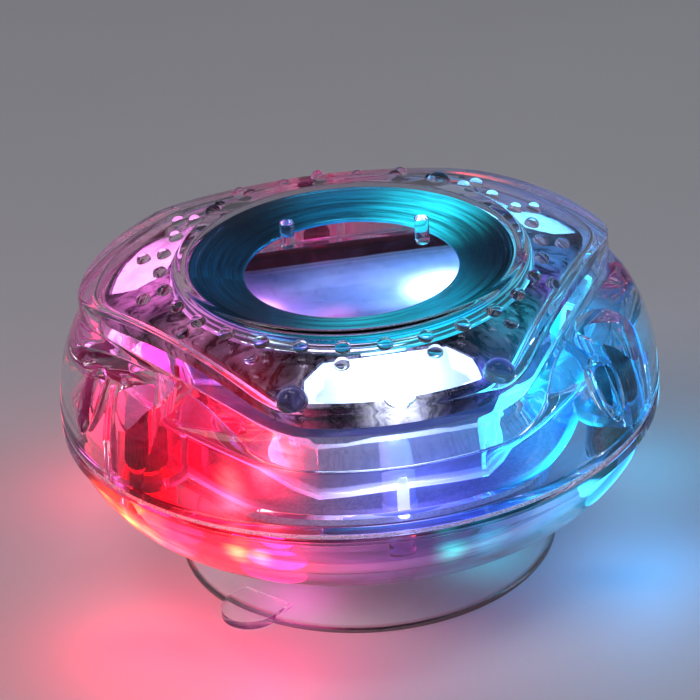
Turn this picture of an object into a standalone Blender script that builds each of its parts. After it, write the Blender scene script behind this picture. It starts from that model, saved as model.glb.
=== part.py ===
"""Underwater pool light: a clear three-lobed disc on a suction cup, with chrome and LEDs inside.

Metres, +Z up. The cup's rim rests on z = 0 and the disc's own axis is the Z axis.
One lobe points forwards, along -Y. Heights in the tables below are in mm above the seam plane.
"""

import math

import bmesh
import bpy
from mathutils import Matrix, Vector

MM = 0.001

# Overall
SEAM_HEIGHT = 26.5
BODY_RADIUS = 45.0
STEPS = 60
LOBES = (270.0, 30.0, 150.0)
FLATS = (90.0, 210.0, 330.0)

# Upper shell
DOME_HEIGHT = 26.3
DOME_POWER = 2.42
EDGE_BAND = 1.7
SEAM_GAP = 0.6
SHOULDER_RADIUS = 41.3
SHOULDER_HEIGHT = 12.8
RIM_BASE = 13.7
DECK_ARC = 40.9
DECK_FLAT = 33.3
DECK_BLEND = 3.0
DECK_RING = 26.1
DECK_TOP = 20.9
DECK_SLOPE = 0.27
DECK_WALL = 2.1
COVER_RADIUS = 25.4
COVER_TOP = 22.1
COVER_CROWN = 0.3
COVER_WALL = 1.6
WALL_FOOT_ARC = 38.7
WALL_FOOT_FLAT = 34.2
WALL_HEAD_ARC = 38.3
WALL_HEAD_FLAT = 31.0
LOBED_WALL = 1.8
DOME_WALL = 2.0
POCKET_TOP = 8.3
POCKET_RISE = 3.3
POCKET_START = 272.3
WELL_TUBE = 6.0
LEAF_WALL = 1.2

# Moulded beads on the deck: (distance from the axis, bead radius, angles from the lobe's middle)
BEAD_ROWS = (
    (28.1, 1.15, (-48, -36, -24, -12, 0, 12, 24, 36, 48, 60)),
    (31.3, 1.15, (-36, -12, 12, 36)),
    (30.9, 1.15, (60,)),
)
# The front lobe alone has three large beads near its edge
LARGE_BEADS = (38.3, 2.25, (248.0, 270.0, 292.0))
# Two beads on the cover's edge, as (angle, bead radius), and two pins under the cover that centre the dish
EDGE_BEADS = ((133.0, 1.5), (49.0, 1.9))
EDGE_BEAD_DISTANCE = 26.2
DISH_PINS = (122.0, 33.0)
DISH_PIN_DISTANCE = 14.5
DISH_PIN_RADIUS = 1.1
DISH_PIN_END = 16.4

# Screw wells in the three shoulders, with a leaf-shaped hollow beside each
WELL_RADIUS = 4.7
WELL_DISTANCE = 38.7
WELL_FLOOR = 1.8
LEAF_TURN = -13.0
LEAF_DISTANCE = 42.7
LEAF_HEIGHT = 9.6
LEAF_SIZE = (2.7, 1.9, 5.6)
LEAF_TILT = 24.0

# Screws and inserts
SCREW_HEAD = (2.9, 4.6)
SCREW_SHANK = 1.55
SCREW_END = -6.0
SCREW_HOLE = 1.9
HEAD_GAP = 0.2
KNURLS = 14
INSERT_RADIUS = 2.5
INSERT_BORE = 1.8
BOSS_RADIUS = 3.5
BOSS_BOTTOM = -7.6
BOSS_BORE = 2.7

# Lower shell
BOWL_DEPTH = 16.2
BOWL_POWER = 1.91
BOWL_FLOOR_RADIUS = 27.4
BOWL_WALL = 2.2
SOCKET_OUTER = 9.0
SOCKET_INNER = 6.0
SOCKET_BOTTOM = -19.4
POST_DISTANCE = 32.8
POST_RADIUS = 1.9
POST_BOTTOM = -13.6

# Suction cup
CUP_RADIUS = 29.0
CUP_KNOB = 5.5
CUP_NECK = 3.9
TAB_TURN = 222.0
TAB_SIZE = (8.5, 9.0, 1.3)

# Inner pieces
BOARD_TOP = -3.0
BOARD_THICKNESS = 1.4
BOARD_ARC = 36.6
BOARD_FLAT = 33.2
WIRE_HOLE = (26.3, 4.0)
WIRE_RADIUS = 0.45
BOX_HALF_WIDTH = 24.6
BOX_FRONT = -11.2
BOX_BACK = 23.4
BOX_WALL = 1.1
BOX_FLOOR = -2.7
BOX_TOP = 9.2
LID_THICKNESS = 1.2
CELL_RADIUS = 5.25
CELL_LENGTH = 44.5
CELL_PITCH = 10.7
LED_DISTANCE = 31.7
SIDE_LED_DISTANCE = 30.9
GUIDE_FLAT = 28.4
GUIDE_LOBE = 35.9
GUIDE_BOTTOM = 2.4
GUIDE_TOP = 9.2
GUIDE_WALL = 1.2
DISH_RIM = 17.9
PLATE_DROP = 2.8
PIN_DISTANCE = 28.3
PIN_RADIUS = 0.8
WINDOW_ARC = 35.9
WINDOW_CORNERS = ((31.5, 12.5), (29.4, 12.1), (26.5, 8.7))
WINDOW_DEPTH = 4.2

# Push button under the disc, behind the suction cup's neck
BUTTON_Y = 29.0
BUTTON_RADIUS = 2.9
BUTTON_HOLE = 4.2
BUTTON_PAD = (6.8, -16.7, -14.1)
BUTTON_POCKET = 6.1


def superellipse(height):
    """Radius of the dome's skin at a height above the seam."""
    return BODY_RADIUS * (1 - (height / DOME_HEIGHT) ** DOME_POWER) ** (1 / DOME_POWER)


def soft_min(a, b, blend):
    share = min(max(0.5 + 0.5 * (b - a) / blend, 0.0), 1.0)
    return b + (a - b) * share - blend * share * (1 - share)


def off_axis(angle, axes):
    """Degrees between an angle and the nearest of three axes."""
    return min(abs((angle - axis + 180) % 360 - 180) for axis in axes)


def lobed(flat, arc, blend=DECK_BLEND):
    """Outline of three arcs joined by three flats, as a radius for each angle."""
    return lambda angle: soft_min(flat / math.cos(math.radians(off_axis(angle, FLATS))), arc, blend)


def six_sided(flat, lobe, blend=1.2):
    """Outline of three long flats joined by three short ones across the lobes."""

    def radius(angle):
        long_side = flat / math.cos(math.radians(off_axis(angle, FLATS)))
        short_side = lobe / math.cos(math.radians(off_axis(angle, LOBES)))
        return soft_min(long_side, short_side, blend)

    return radius


def deck_height(radius):
    return DECK_TOP - DECK_SLOPE * (radius - DECK_RING)


def ring(radius, height, steps=STEPS, start=270.0):
    """One closed ring of points. Radius may depend on the angle, and height on the angle and the radius."""
    points = []
    for step in range(steps):
        angle = start + 360.0 * step / steps
        r = radius(angle) if callable(radius) else radius
        z = height(angle, r) if callable(height) else height
        points.append((r * math.cos(math.radians(angle)), r * math.sin(math.radians(angle)), z))
    return points


def shade(name, colour, rough, metal, clear):
    material = bpy.data.materials.new(name)
    material.use_nodes = True
    shader = material.node_tree.nodes["Principled BSDF"]
    shader.inputs["Base Color"].default_value = (*colour, 1.0)
    shader.inputs["Roughness"].default_value = rough
    shader.inputs["Metallic"].default_value = metal
    shader.inputs["Transmission Weight"].default_value = clear
    return material


LOOKS = {
    "clear": ((0.93, 0.96, 1.0), 0.05, 0.0, 1.0),
    "soft_clear": ((0.88, 0.9, 0.95), 0.2, 0.0, 0.8),
    "chrome": ((0.85, 0.87, 0.9), 0.08, 1.0, 0.0),
    "steel": ((0.25, 0.25, 0.27), 0.35, 1.0, 0.0),
    "spring": ((0.7, 0.7, 0.72), 0.25, 1.0, 0.0),
    "brass": ((0.75, 0.55, 0.25), 0.3, 1.0, 0.0),
    "board": ((0.3, 0.33, 0.42), 0.5, 0.0, 0.0),
    "black": ((0.03, 0.03, 0.03), 0.5, 0.0, 0.0),
    "rubber": ((0.35, 0.37, 0.4), 0.6, 0.0, 0.0),
    "cell": ((0.12, 0.2, 0.45), 0.35, 0.3, 0.0),
    "red": ((0.9, 0.05, 0.08), 0.2, 0.0, 0.3),
    "blue": ((0.1, 0.25, 0.95), 0.2, 0.0, 0.3),
    "cyan": ((0.1, 0.85, 0.9), 0.2, 0.0, 0.3),
    "magenta": ((0.9, 0.15, 0.7), 0.2, 0.0, 0.3),
    "white": ((0.85, 0.9, 1.0), 0.2, 0.0, 0.3),
    "wire_red": ((0.6, 0.03, 0.03), 0.5, 0.0, 0.0),
}


def add_object(name, points, faces, look, origin=(0, 0, 0)):
    """A closed mesh from points in mm above the seam plane, its origin where given."""
    mesh = bpy.data.meshes.new(name)
    shape = bmesh.new()
    corners = [shape.verts.new((Vector(p) + Vector((0, 0, SEAM_HEIGHT)) - Vector(origin)) * MM) for p in points]
    for face in faces:
        shape.faces.new([corners[index] for index in face])
    bmesh.ops.recalc_face_normals(shape, faces=shape.faces)
    shape.to_mesh(mesh)
    shape.free()
    obj = bpy.data.objects.new(name, mesh)
    obj.location = Vector(origin) * MM
    bpy.context.scene.collection.objects.link(obj)
    if look:
        mesh.materials.append(shade(name, *LOOKS[look]))
    return obj


def helper(obj):
    """Marks a cutter or an added block, which isn't a piece of its own."""
    obj.hide_render = True
    obj.display_type = "WIRE"
    return obj


def boolean(obj, other, operation):
    change = obj.modifiers.new(f"{operation.lower()} {other.name}", "BOOLEAN")
    change.operation = operation
    change.solver = "EXACT"
    change.object = other


def skin(rings, closed):
    """Points and faces over rings of equal length. Closed joins the last ring to the first; else both get a flat cap."""
    steps = len(rings[0])
    points = [point for one in rings for point in one]
    count = len(rings)
    faces = []
    for row in range(count if closed else count - 1):
        low = row * steps
        high = ((row + 1) % count) * steps
        for step in range(steps):
            after = (step + 1) % steps
            faces.append((low + step, low + after, high + after, high + step))
    if not closed:
        faces.append(tuple(reversed(range(steps))))
        faces.append(tuple((count - 1) * steps + step for step in range(steps)))
    return points, faces


def loft(name, rings, look, closed=True, origin=(0, 0, 0)):
    return add_object(name, *skin(rings, closed), look, origin)


def turned(name, profile, look, steps=STEPS, closed=False, centre=(0, 0), origin=(0, 0, 0)):
    """A turned solid from (radius, height) pairs. Closed profiles go round a hole, others are capped at both ends."""
    rings = [[(x + centre[0], y + centre[1], z) for x, y, z in ring(r, h, steps)] for r, h in profile]
    return loft(name, rings, look, closed, origin)


def merge(parts):
    """Several point and face lists as one."""
    points = []
    faces = []
    for more_points, more_faces in parts:
        start = len(points)
        points += more_points
        faces += [tuple(index + start for index in face) for face in more_faces]
    return points, faces


def at_angle(distance, angle, height=0.0):
    return Vector((distance * math.cos(math.radians(angle)), distance * math.sin(math.radians(angle)), height))


def cylinder(radius, low, high, centre=(0, 0), steps=24):
    rings = [[(x + centre[0], y + centre[1], z) for x, y, z in ring(radius, h, steps)] for h in (low, high)]
    return skin(rings, False)


def ball(centre, size, frame, steps=12, rows=5):
    """An ellipsoid, its three half sizes along the axes of a frame."""
    rings = []
    for row in range(rows):
        lift = math.pi * (row + 0.5) / rows - math.pi / 2
        wide = math.cos(lift)
        rings.append([(wide * x, wide * y, math.sin(lift)) for x, y, _ in ring(1.0, 0.0, steps)])
    points, faces = skin(rings, False)
    placed = [Vector(centre) + frame @ Vector([s * c for s, c in zip(size, p)]) for p in points]
    return [tuple(p) for p in placed], faces


def block(low, high):
    """A box between two corners."""
    points = [(x, y, z) for z in (low[2], high[2]) for x, y in
              ((low[0], low[1]), (high[0], low[1]), (high[0], high[1]), (low[0], high[1]))]
    faces = [(3, 2, 1, 0), (4, 5, 6, 7), (0, 1, 5, 4), (1, 2, 6, 5), (2, 3, 7, 6), (3, 0, 4, 7)]
    return points, faces


def tube(path, radius, sides=8):
    """A round wire along a path of points, capped at both ends."""
    path = [Vector(p) for p in path]
    rings = []
    for index, point in enumerate(path):
        along = (path[min(index + 1, len(path) - 1)] - path[max(index - 1, 0)]).normalized()
        side = along.cross(Vector((0.31, 0.17, 0.93))).normalized()
        up = side.cross(along)
        turn = [2 * math.pi * k / sides for k in range(sides)]
        rings.append([tuple(point + radius * (math.cos(t) * side + math.sin(t) * up)) for t in turn])
    return skin(rings, False)


def curve_path(a, b, c, d, steps=12):
    """Points along a smooth bend from a to d, drawn towards b and c."""
    a, b, c, d = (Vector(p) for p in (a, b, c, d))
    shares = [step / steps for step in range(steps + 1)]
    return [(1 - t) ** 3 * a + 3 * (1 - t) ** 2 * t * b + 3 * (1 - t) * t * t * c + t ** 3 * d for t in shares]


def upper_shell():
    deck = lobed(DECK_FLAT, DECK_ARC)
    head = lobed(WALL_HEAD_FLAT, WALL_HEAD_ARC)
    foot = lobed(WALL_FOOT_FLAT, WALL_FOOT_ARC)

    def shoulder(share):
        """A ring part of the way in over the shoulder, which bulges a little where it is wide."""
        def radius(angle):
            return SHOULDER_RADIUS + (deck(angle) - SHOULDER_RADIUS) * share

        def height(angle, _):
            wide = (SHOULDER_RADIUS - deck(angle)) / (SHOULDER_RADIUS - DECK_FLAT)
            rise = SHOULDER_HEIGHT + (RIM_BASE - SHOULDER_HEIGHT) * share
            return rise + 1.0 * wide * math.sin(math.pi * share)
        return ring(radius, height)

    def deck_ring(share):
        def radius(angle):
            return (deck(angle) - 0.9) + (DECK_RING + 0.5 - deck(angle) + 0.9) * share
        return ring(radius, lambda _, r: deck_height(r))

    def under_deck(share):
        def radius(angle):
            return COVER_RADIUS - 0.6 + (head(angle) - COVER_RADIUS + 0.6) * share
        return ring(radius, lambda _, r: deck_height(r) - DECK_WALL)

    def wall(share):
        def radius(angle):
            return head(angle) + (foot(angle) - head(angle)) * share

        def height(angle, _):
            top = deck_height(head(angle)) - DECK_WALL - 0.8
            return top + (SEAM_GAP - top) * share
        return ring(radius, height)

    side = [ring(BODY_RADIUS, SEAM_GAP), ring(BODY_RADIUS, EDGE_BAND)]
    side += [ring(superellipse(h) - 0.15, h) for h in (2.0, 4.5, 7.0, 9.2, 11.2)]
    rim = [
        ring(lambda a: deck(a), RIM_BASE + 0.05),
        ring(lambda a: deck(a) - 0.2, lambda a, r: deck_height(r) - 0.6),
        ring(lambda a: deck(a) - 0.9, lambda a, r: deck_height(r)),
    ]
    cover = [
        ring(DECK_RING, DECK_TOP + 0.1),
        ring(COVER_RADIUS + 0.4, COVER_TOP - 0.4),
        ring(COVER_RADIUS - 0.1, COVER_TOP),
        ring(14.0, COVER_TOP + 0.7 * COVER_CROWN),
        ring(1.0, COVER_TOP + COVER_CROWN),
    ]
    inside = [
        ring(1.0, COVER_TOP - COVER_WALL),
        ring(COVER_RADIUS - 1.0, COVER_TOP - COVER_WALL),
        under_deck(0.0),
        under_deck(0.95),
        wall(0.0),
        wall(1.0),
    ]
    rows = side + [shoulder(s) for s in (0.0, 0.3, 0.65)] + rim
    rows += [deck_ring(s) for s in (0.5, 0.96)] + cover
    points, faces = skin(rows + inside, True)
    # The two small rings at the middle are closed with flat faces in place of the hole between them.
    outer_last = len(rows) - 1
    between = {tuple(sorted(f)) for f in (
        (outer_last * STEPS + s, outer_last * STEPS + (s + 1) % STEPS,
         (outer_last + 1) * STEPS + (s + 1) % STEPS, (outer_last + 1) * STEPS + s) for s in range(STEPS))}
    faces = [f for f in faces if tuple(sorted(f)) not in between]
    faces.append(tuple(outer_last * STEPS + s for s in range(STEPS)))
    faces.append(tuple((outer_last + 1) * STEPS + s for s in reversed(range(STEPS))))
    shell = add_object("upper_shell", points, faces, "clear")
    boolean(shell, pocket_cutter(), "DIFFERENCE")
    boolean(shell, wells_cutter(), "DIFFERENCE")
    boolean(shell, beads(), "UNION")
    return shell


def pocket_cutter():
    """The hollow between the dome's wall and the lobed wall, open below, round the tubes of the screw wells."""
    deck = lobed(DECK_FLAT, DECK_ARC)
    head = lobed(WALL_HEAD_FLAT, WALL_HEAD_ARC)
    foot = lobed(WALL_FOOT_FLAT, WALL_FOOT_ARC)

    def ceiling(angle):
        return POCKET_TOP + POCKET_RISE * (SHOULDER_RADIUS - deck(angle)) / (SHOULDER_RADIUS - DECK_FLAT)

    def near(angle, height):
        share = (height - SEAM_GAP) / (deck_height(head(angle)) - DECK_WALL - 0.8 - SEAM_GAP)
        return foot(angle) + (head(angle) - foot(angle)) * share + LOBED_WALL

    def far(height):
        return superellipse(height) - 0.15 - DOME_WALL

    corners = [
        (lambda a: near(a, SEAM_GAP), -1.0),
        (lambda a: near(a, ceiling(a) - 0.8), lambda a, _: ceiling(a) - 0.8),
        (lambda a: near(a, ceiling(a)) + 0.3, lambda a, _: ceiling(a)),
        (lambda a: far(ceiling(a)) - 0.4, lambda a, _: ceiling(a)),
        (lambda a: far(ceiling(a) - 1.0), lambda a, _: ceiling(a) - 1.0),
        (far(4.5), 4.5),
        (BODY_RADIUS - DOME_WALL, -1.0),
    ]
    # The pocket's own corners fall between those of the shell, so that no two edges meet.
    rings = [ring(radius, height, STEPS, POCKET_START) for radius, height in corners]
    pocket = helper(loft("pocket_cutter", rings, None))
    tubes = [cylinder(WELL_TUBE, -2.0, 16.0, at_angle(WELL_DISTANCE, flat), 32) for flat in FLATS]
    boolean(pocket, helper(add_object("well_tube_block", *merge(tubes), None)), "DIFFERENCE")
    backs = [leaf(flat, LEAF_WALL) for flat in FLATS]
    boolean(pocket, helper(add_object("leaf_back_block", *merge(backs), None)), "DIFFERENCE")
    return pocket


def leaf(flat, more=0.0):
    """The leaf-shaped hollow beside a well, or with more, the thicker plastic behind it."""
    turn = flat + LEAF_TURN
    frame = Matrix.Rotation(math.radians(turn - 90), 3, "Z") @ Matrix.Rotation(math.radians(LEAF_TILT), 3, "X")
    size = [half + more for half in LEAF_SIZE]
    return ball(at_angle(LEAF_DISTANCE, turn, LEAF_HEIGHT), size, frame, 14, 7)


def wells_cutter():
    parts = []
    for flat in FLATS:
        centre = at_angle(WELL_DISTANCE, flat)
        parts.append(cylinder(WELL_RADIUS, WELL_FLOOR, 16.0, centre, 32))
        parts.append(cylinder(SCREW_HOLE, -2.0, WELL_FLOOR + 0.0, centre, 16))
        parts.append(leaf(flat))
    # Each well and its screw hole overlap by a hair's breadth, so that they cut one hollow.
    for index in range(0, len(parts), 3):
        points, faces = parts[index + 1]
        parts[index + 1] = [(x, y, z if z < 0 else z + 0.3) for x, y, z in points], faces
    wells = helper(add_object("well_cutter", *merge(parts[0::3]), None))
    holes = helper(add_object("screw_hole_cutter", *merge(parts[1::3]), None))
    leaves = helper(add_object("leaf_cutter", *merge(parts[2::3]), None))
    boolean(wells, holes, "UNION")
    boolean(wells, leaves, "UNION")
    return wells


def beads():
    """The beads on the deck, and the pins under it that hold the reflector down and the dish in the middle."""
    parts = []
    upright = Matrix.Identity(3)
    for lobe in LOBES:
        for distance, radius, angles in BEAD_ROWS:
            for angle in angles:
                centre = at_angle(distance, lobe + angle, deck_height(distance) + 0.05)
                parts.append(ball(centre, (radius,) * 3, upright, 8, 4))
    distance, radius, angles = LARGE_BEADS
    for angle in angles:
        parts.append(ball(at_angle(distance, angle, deck_height(distance) + 0.05), (radius,) * 3, upright, 16, 8))
    for angle, radius in EDGE_BEADS:
        parts.append(ball(at_angle(EDGE_BEAD_DISTANCE, angle, DECK_TOP + 0.3), (radius,) * 3, upright, 10, 5))
    for angle in DISH_PINS:
        centre = at_angle(DISH_PIN_DISTANCE, angle)
        parts.append(cylinder(DISH_PIN_RADIUS, DISH_PIN_END, COVER_TOP - COVER_WALL + 0.4, centre, 12))
    low = deck_height(PIN_DISTANCE) - PLATE_DROP + 0.5
    high = deck_height(PIN_DISTANCE) - DECK_WALL + 0.8
    parts += [cylinder(PIN_RADIUS, low, high, at_angle(PIN_DISTANCE, flat), 12) for flat in FLATS]
    return helper(add_object("bead_block", *merge(parts), None))


def bowl_radius(depth):
    share = min(depth / BOWL_DEPTH, 1.0)
    return BOWL_FLOOR_RADIUS + (BODY_RADIUS - 0.5 - BOWL_FLOOR_RADIUS) * (1 - share ** BOWL_POWER) ** (1 / BOWL_POWER)


def lower_shell():
    inner_floor = -BOWL_DEPTH + BOWL_WALL
    profile = [(1.0, inner_floor)]
    profile += [(BOWL_FLOOR_RADIUS - 0.5, inner_floor)]
    for depth in (13.4, 12.0, 9.6, 6.4, 3.4):
        profile.append((bowl_radius(depth * BOWL_DEPTH / (BOWL_DEPTH - BOWL_WALL)) - BOWL_WALL, -depth))
    profile += [(42.6, -2.2), (42.6, -SEAM_GAP), (BODY_RADIUS, -SEAM_GAP), (BODY_RADIUS, -2.2)]
    profile += [(bowl_radius(d), -d) for d in (2.7, 5.4, 8.4, 11.4, 13.8, 15.4, 16.1)]
    profile += [(BOWL_FLOOR_RADIUS - 1.5, -BOWL_DEPTH), (SOCKET_OUTER, -BOWL_DEPTH), (SOCKET_OUTER, SOCKET_BOTTOM)]
    profile += [(SOCKET_INNER, SOCKET_BOTTOM), (SOCKET_INNER, -BOWL_DEPTH - 0.2), (1.0, -BOWL_DEPTH - 0.2)]
    shell = turned("lower_shell", profile, "clear")
    bosses = []
    for flat in FLATS:
        bosses.append(cylinder(BOSS_RADIUS, BOSS_BOTTOM, -SEAM_GAP - 0.15, at_angle(WELL_DISTANCE, flat)))
    bosses.append(cylinder(BUTTON_PAD[0], BUTTON_PAD[1], BUTTON_PAD[2] + 0.4, (0, BUTTON_Y), 32))
    under_board = BOARD_TOP - BOARD_THICKNESS - 0.2
    bosses += [cylinder(POST_RADIUS, POST_BOTTOM, under_board, at_angle(POST_DISTANCE, lobe), 16) for lobe in LOBES]
    added = helper(add_object("boss_block", *merge(bosses), None))
    boolean(shell, added, "UNION")
    holes = [cylinder(BOSS_BORE, BOSS_BOTTOM + 1.0, 0.0, at_angle(WELL_DISTANCE, flat)) for flat in FLATS]
    holes.append(cylinder(BUTTON_POCKET, BUTTON_PAD[2], -9.0, (0, BUTTON_Y), 32))
    bores = helper(add_object("bore_cutter", *merge(holes), None))
    through = cylinder(BUTTON_HOLE, BUTTON_PAD[1] - 1, BUTTON_PAD[2] + 1, (0, BUTTON_Y), 24)
    boolean(bores, helper(add_object("button_hole_cutter", *through, None)), "UNION")
    boolean(shell, bores, "DIFFERENCE")
    return shell


def seal_ring():
    profile = [(42.8, -0.3), (42.8, 0.3), (44.6, 0.3), (44.9, 0.0), (44.6, -0.3)]
    turned("seal_ring", profile, "rubber", closed=True)


def dish():
    """The mirror dish round the middle opening, and the bright ring that frames it and carries it on a ledge."""
    profile = [(15.9, DISH_RIM), (20.0, DISH_RIM + 0.95), (23.3, DISH_RIM + 1.9), (24.0, DISH_RIM + 1.95)]
    profile += [(24.0, DISH_RIM + 1.3), (20.0, DISH_RIM + 0.2), (15.9, DISH_RIM - 0.7)]
    turned("mirror_dish", profile, "chrome", 48, True)
    profile = [(23.2, 17.5), (23.2, 18.65), (24.5, 18.65), (24.9, 18.5), (26.3, 17.95), (26.3, 17.3)]
    turned("dish_bezel", profile, "chrome", 48, True)


def window_outline(inset):
    """A window with cut inner corners and an arc as its outer edge, drawn for a lobe along X and made smaller."""
    arc = WINDOW_ARC - inset
    side = WINDOW_CORNERS[0][1] - inset
    reach = math.degrees(math.asin((side + 0.1) / arc))
    outline = [(arc * math.cos(math.radians(reach * share)), arc * math.sin(math.radians(reach * share)))
               for share in (-1.0, -0.6, -0.2, 0.2, 0.6, 1.0)]
    right = [(x, y - inset) for x, y in WINDOW_CORNERS[:2]] + [(WINDOW_CORNERS[2][0] + inset, WINDOW_CORNERS[2][1])]
    right[1] = (right[1][0] + 0.3 * inset, right[1][1])
    return outline + right + [(x, -y) for x, y in reversed(right)]


def reflector_plate():
    """The chromed cone under the deck, with a skirt at its edge and a window in each lobe."""
    edge = lobed(WALL_HEAD_FLAT - 1.3, WALL_HEAD_ARC - 1.5)

    def cone(share, drop):
        def radius(angle):
            return 26.7 + (edge(angle) - 26.7) * share
        return ring(radius, lambda a, r: deck_height(r) - PLATE_DROP - drop)

    rings = [cone(0.0, 0.0), cone(0.97, 0.0), cone(1.0, 0.25), cone(1.0, 2.2)]
    rings += [ring(lambda a: edge(a) - 1.0, lambda a, r: deck_height(r + 1.0) - PLATE_DROP - 2.2)]
    rings += [cone(0.93, 1.1), cone(0.0, 1.1)]
    plate = loft("reflector_plate", rings, "chrome")
    cuts = []
    for lobe in LOBES:
        frame = Matrix.Rotation(math.radians(lobe), 3, "Z")
        rings = [[tuple(frame @ Vector((x, y, z))) for x, y in window_outline(0.0)] for z in (8.0, 22.0)]
        cuts.append(skin(rings, False))
    boolean(plate, helper(add_object("window_cutter", *merge(cuts), None)), "DIFFERENCE")


def window_blocks():
    """A clear tapered block fills each window, with its foot smaller than its head."""
    for number, lobe in enumerate(LOBES, 1):
        frame = Matrix.Rotation(math.radians(lobe), 3, "Z")
        rings = []
        for narrow, deep in ((1.7, WINDOW_DEPTH), (0.3, 0.0)):
            rings.append([tuple(frame @ Vector((x, y, deck_height(math.hypot(x, y)) - PLATE_DROP - 0.05 - deep)))
                          for x, y in window_outline(narrow)])
        loft(f"window_block_{number}", rings, "clear", False)


def light_guide():
    """The clear six-sided cup wall round the batteries, which carries the light to the windows."""
    outer = six_sided(GUIDE_FLAT, GUIDE_LOBE, 2.5)
    inner = six_sided(GUIDE_FLAT - GUIDE_WALL, GUIDE_LOBE - GUIDE_WALL, 2.5)
    foot = six_sided(GUIDE_FLAT + 0.5, GUIDE_LOBE + 0.4, 2.5)
    rings = [ring(inner, GUIDE_BOTTOM), ring(foot, GUIDE_BOTTOM), ring(foot, GUIDE_BOTTOM + 0.7)]
    rings += [ring(outer, GUIDE_BOTTOM + 0.9), ring(outer, GUIDE_TOP), ring(inner, GUIDE_TOP)]
    guide = loft("light_guide", rings, "soft_clear")
    middle = GUIDE_LOBE - GUIDE_WALL / 2
    legs = [cylinder(0.85, BOARD_TOP + 0.3, GUIDE_BOTTOM + 1.6, at_angle(middle, lobe), 12) for lobe in LOBES]
    boolean(guide, helper(add_object("leg_block", *merge(legs), None)), "UNION")


def battery_box():
    low = (-BOX_HALF_WIDTH, BOX_FRONT, BOX_FLOOR)
    high = (BOX_HALF_WIDTH, BOX_BACK, BOX_TOP)
    box = add_object("battery_box", *block(low, high), "soft_clear")
    inset = BOX_WALL
    hollow = block((low[0] + inset, low[1] + inset, low[2] + 1.1), (high[0] - inset, high[1] - inset, high[2] + 5))
    boolean(box, helper(add_object("box_hollow", *hollow, None)), "DIFFERENCE")
    low = (-BOX_HALF_WIDTH, BOX_FRONT, BOX_TOP + 0.3)
    high = (BOX_HALF_WIDTH, BOX_BACK, BOX_TOP + 0.3 + LID_THICKNESS)
    lid = add_object("battery_lid", *block(low, high), "soft_clear")
    edge = lid.modifiers.new("rounded edge", "BEVEL")
    edge.width = 0.0004
    edge.segments = 2
    edge.limit_method = "NONE"
    middle = (BOX_FRONT + BOX_BACK) / 2
    height = BOX_FLOOR + 1.3 + CELL_RADIUS
    for number in range(3):
        y = middle + (number - 1) * CELL_PITCH
        flip = 1 if number % 2 == 0 else -1
        cell(number + 1, y, height, flip)
        contacts(number + 1, y, height, flip)


def lying(points, flip, y, z):
    """Turns points drawn up the Z axis so that they lie along X."""
    return [(flip * p[2], y + p[0], z + p[1] * flip) for p in points]


def cell(number, y, z, flip):
    half = CELL_LENGTH / 2
    profile = [(4.7, -half), (CELL_RADIUS, -half + 0.3), (CELL_RADIUS, half - 1.6)]
    profile += [(4.4, half - 1.2), (1.9, half - 1.1), (1.9, half - 0.1), (1.5, half)]
    points, faces = skin([ring(r, h, 18) for r, h in profile], False)
    add_object(f"cell_{number}", lying(points, flip, y, z), faces, "cell")


def contacts(number, y, z, flip):
    """A coil spring at the cell's flat end and a plate at its button end."""
    end = CELL_LENGTH / 2
    path = []
    turns = 2.5
    count = 18
    for step in range(count + 1):
        share = step / count
        angle = 2 * math.pi * turns * share
        radius = 3.2 - 1.0 * share
        path.append((radius * math.cos(angle), radius * math.sin(angle), -end - 0.95 + 0.6 * share))
    points, faces = tube(path, 0.15, 5)
    add_object(f"spring_contact_{number}", lying(points, flip, y, z), faces, "spring")
    x = flip * (end + 0.75)
    low = (x - 0.2, y - 4.0, z - 4.0)
    add_object(f"contact_plate_{number}", *block(low, (x + 0.2, y + 4.0, z + 4.0)), "spring")


def led_board():
    outline = lobed(BOARD_FLAT, BOARD_ARC, 2.0)
    rings = [ring(outline, BOARD_TOP - BOARD_THICKNESS), ring(outline, BOARD_TOP)]
    board = loft("led_board", rings, "board", False)
    holes = [cylinder(0.9, -8.0, 0.0, (side * WIRE_HOLE[0], WIRE_HOLE[1]), 16) for side in (-1, 1)]
    boolean(board, helper(add_object("wire_hole_cutter", *merge(holes), None)), "DIFFERENCE")
    colours = ("white", "cyan", "magenta")
    for number, (lobe, colour) in enumerate(zip(LOBES, colours), 1):
        led(f"led_{number}", at_angle(LED_DISTANCE, lobe), 2.3, 8.2, colour)
    for number, (flat, colour) in enumerate(zip(FLATS, ("magenta", "red", "blue")), 4):
        led(f"led_{number}", at_angle(SIDE_LED_DISTANCE, flat), 1.5, 4.6, colour)


def led(name, centre, radius, height, look):
    base = BOARD_TOP + 0.15
    profile = [(radius + 0.2, base), (radius + 0.2, base + 0.8), (radius, base + 0.9)]
    straight = base + height - radius
    for step in range(5):
        lift = math.radians(18 * step)
        profile.append((radius * math.cos(lift), straight + radius * math.sin(lift)))
    turned(name, profile, look, 12, centre=(centre.x, centre.y))


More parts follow.
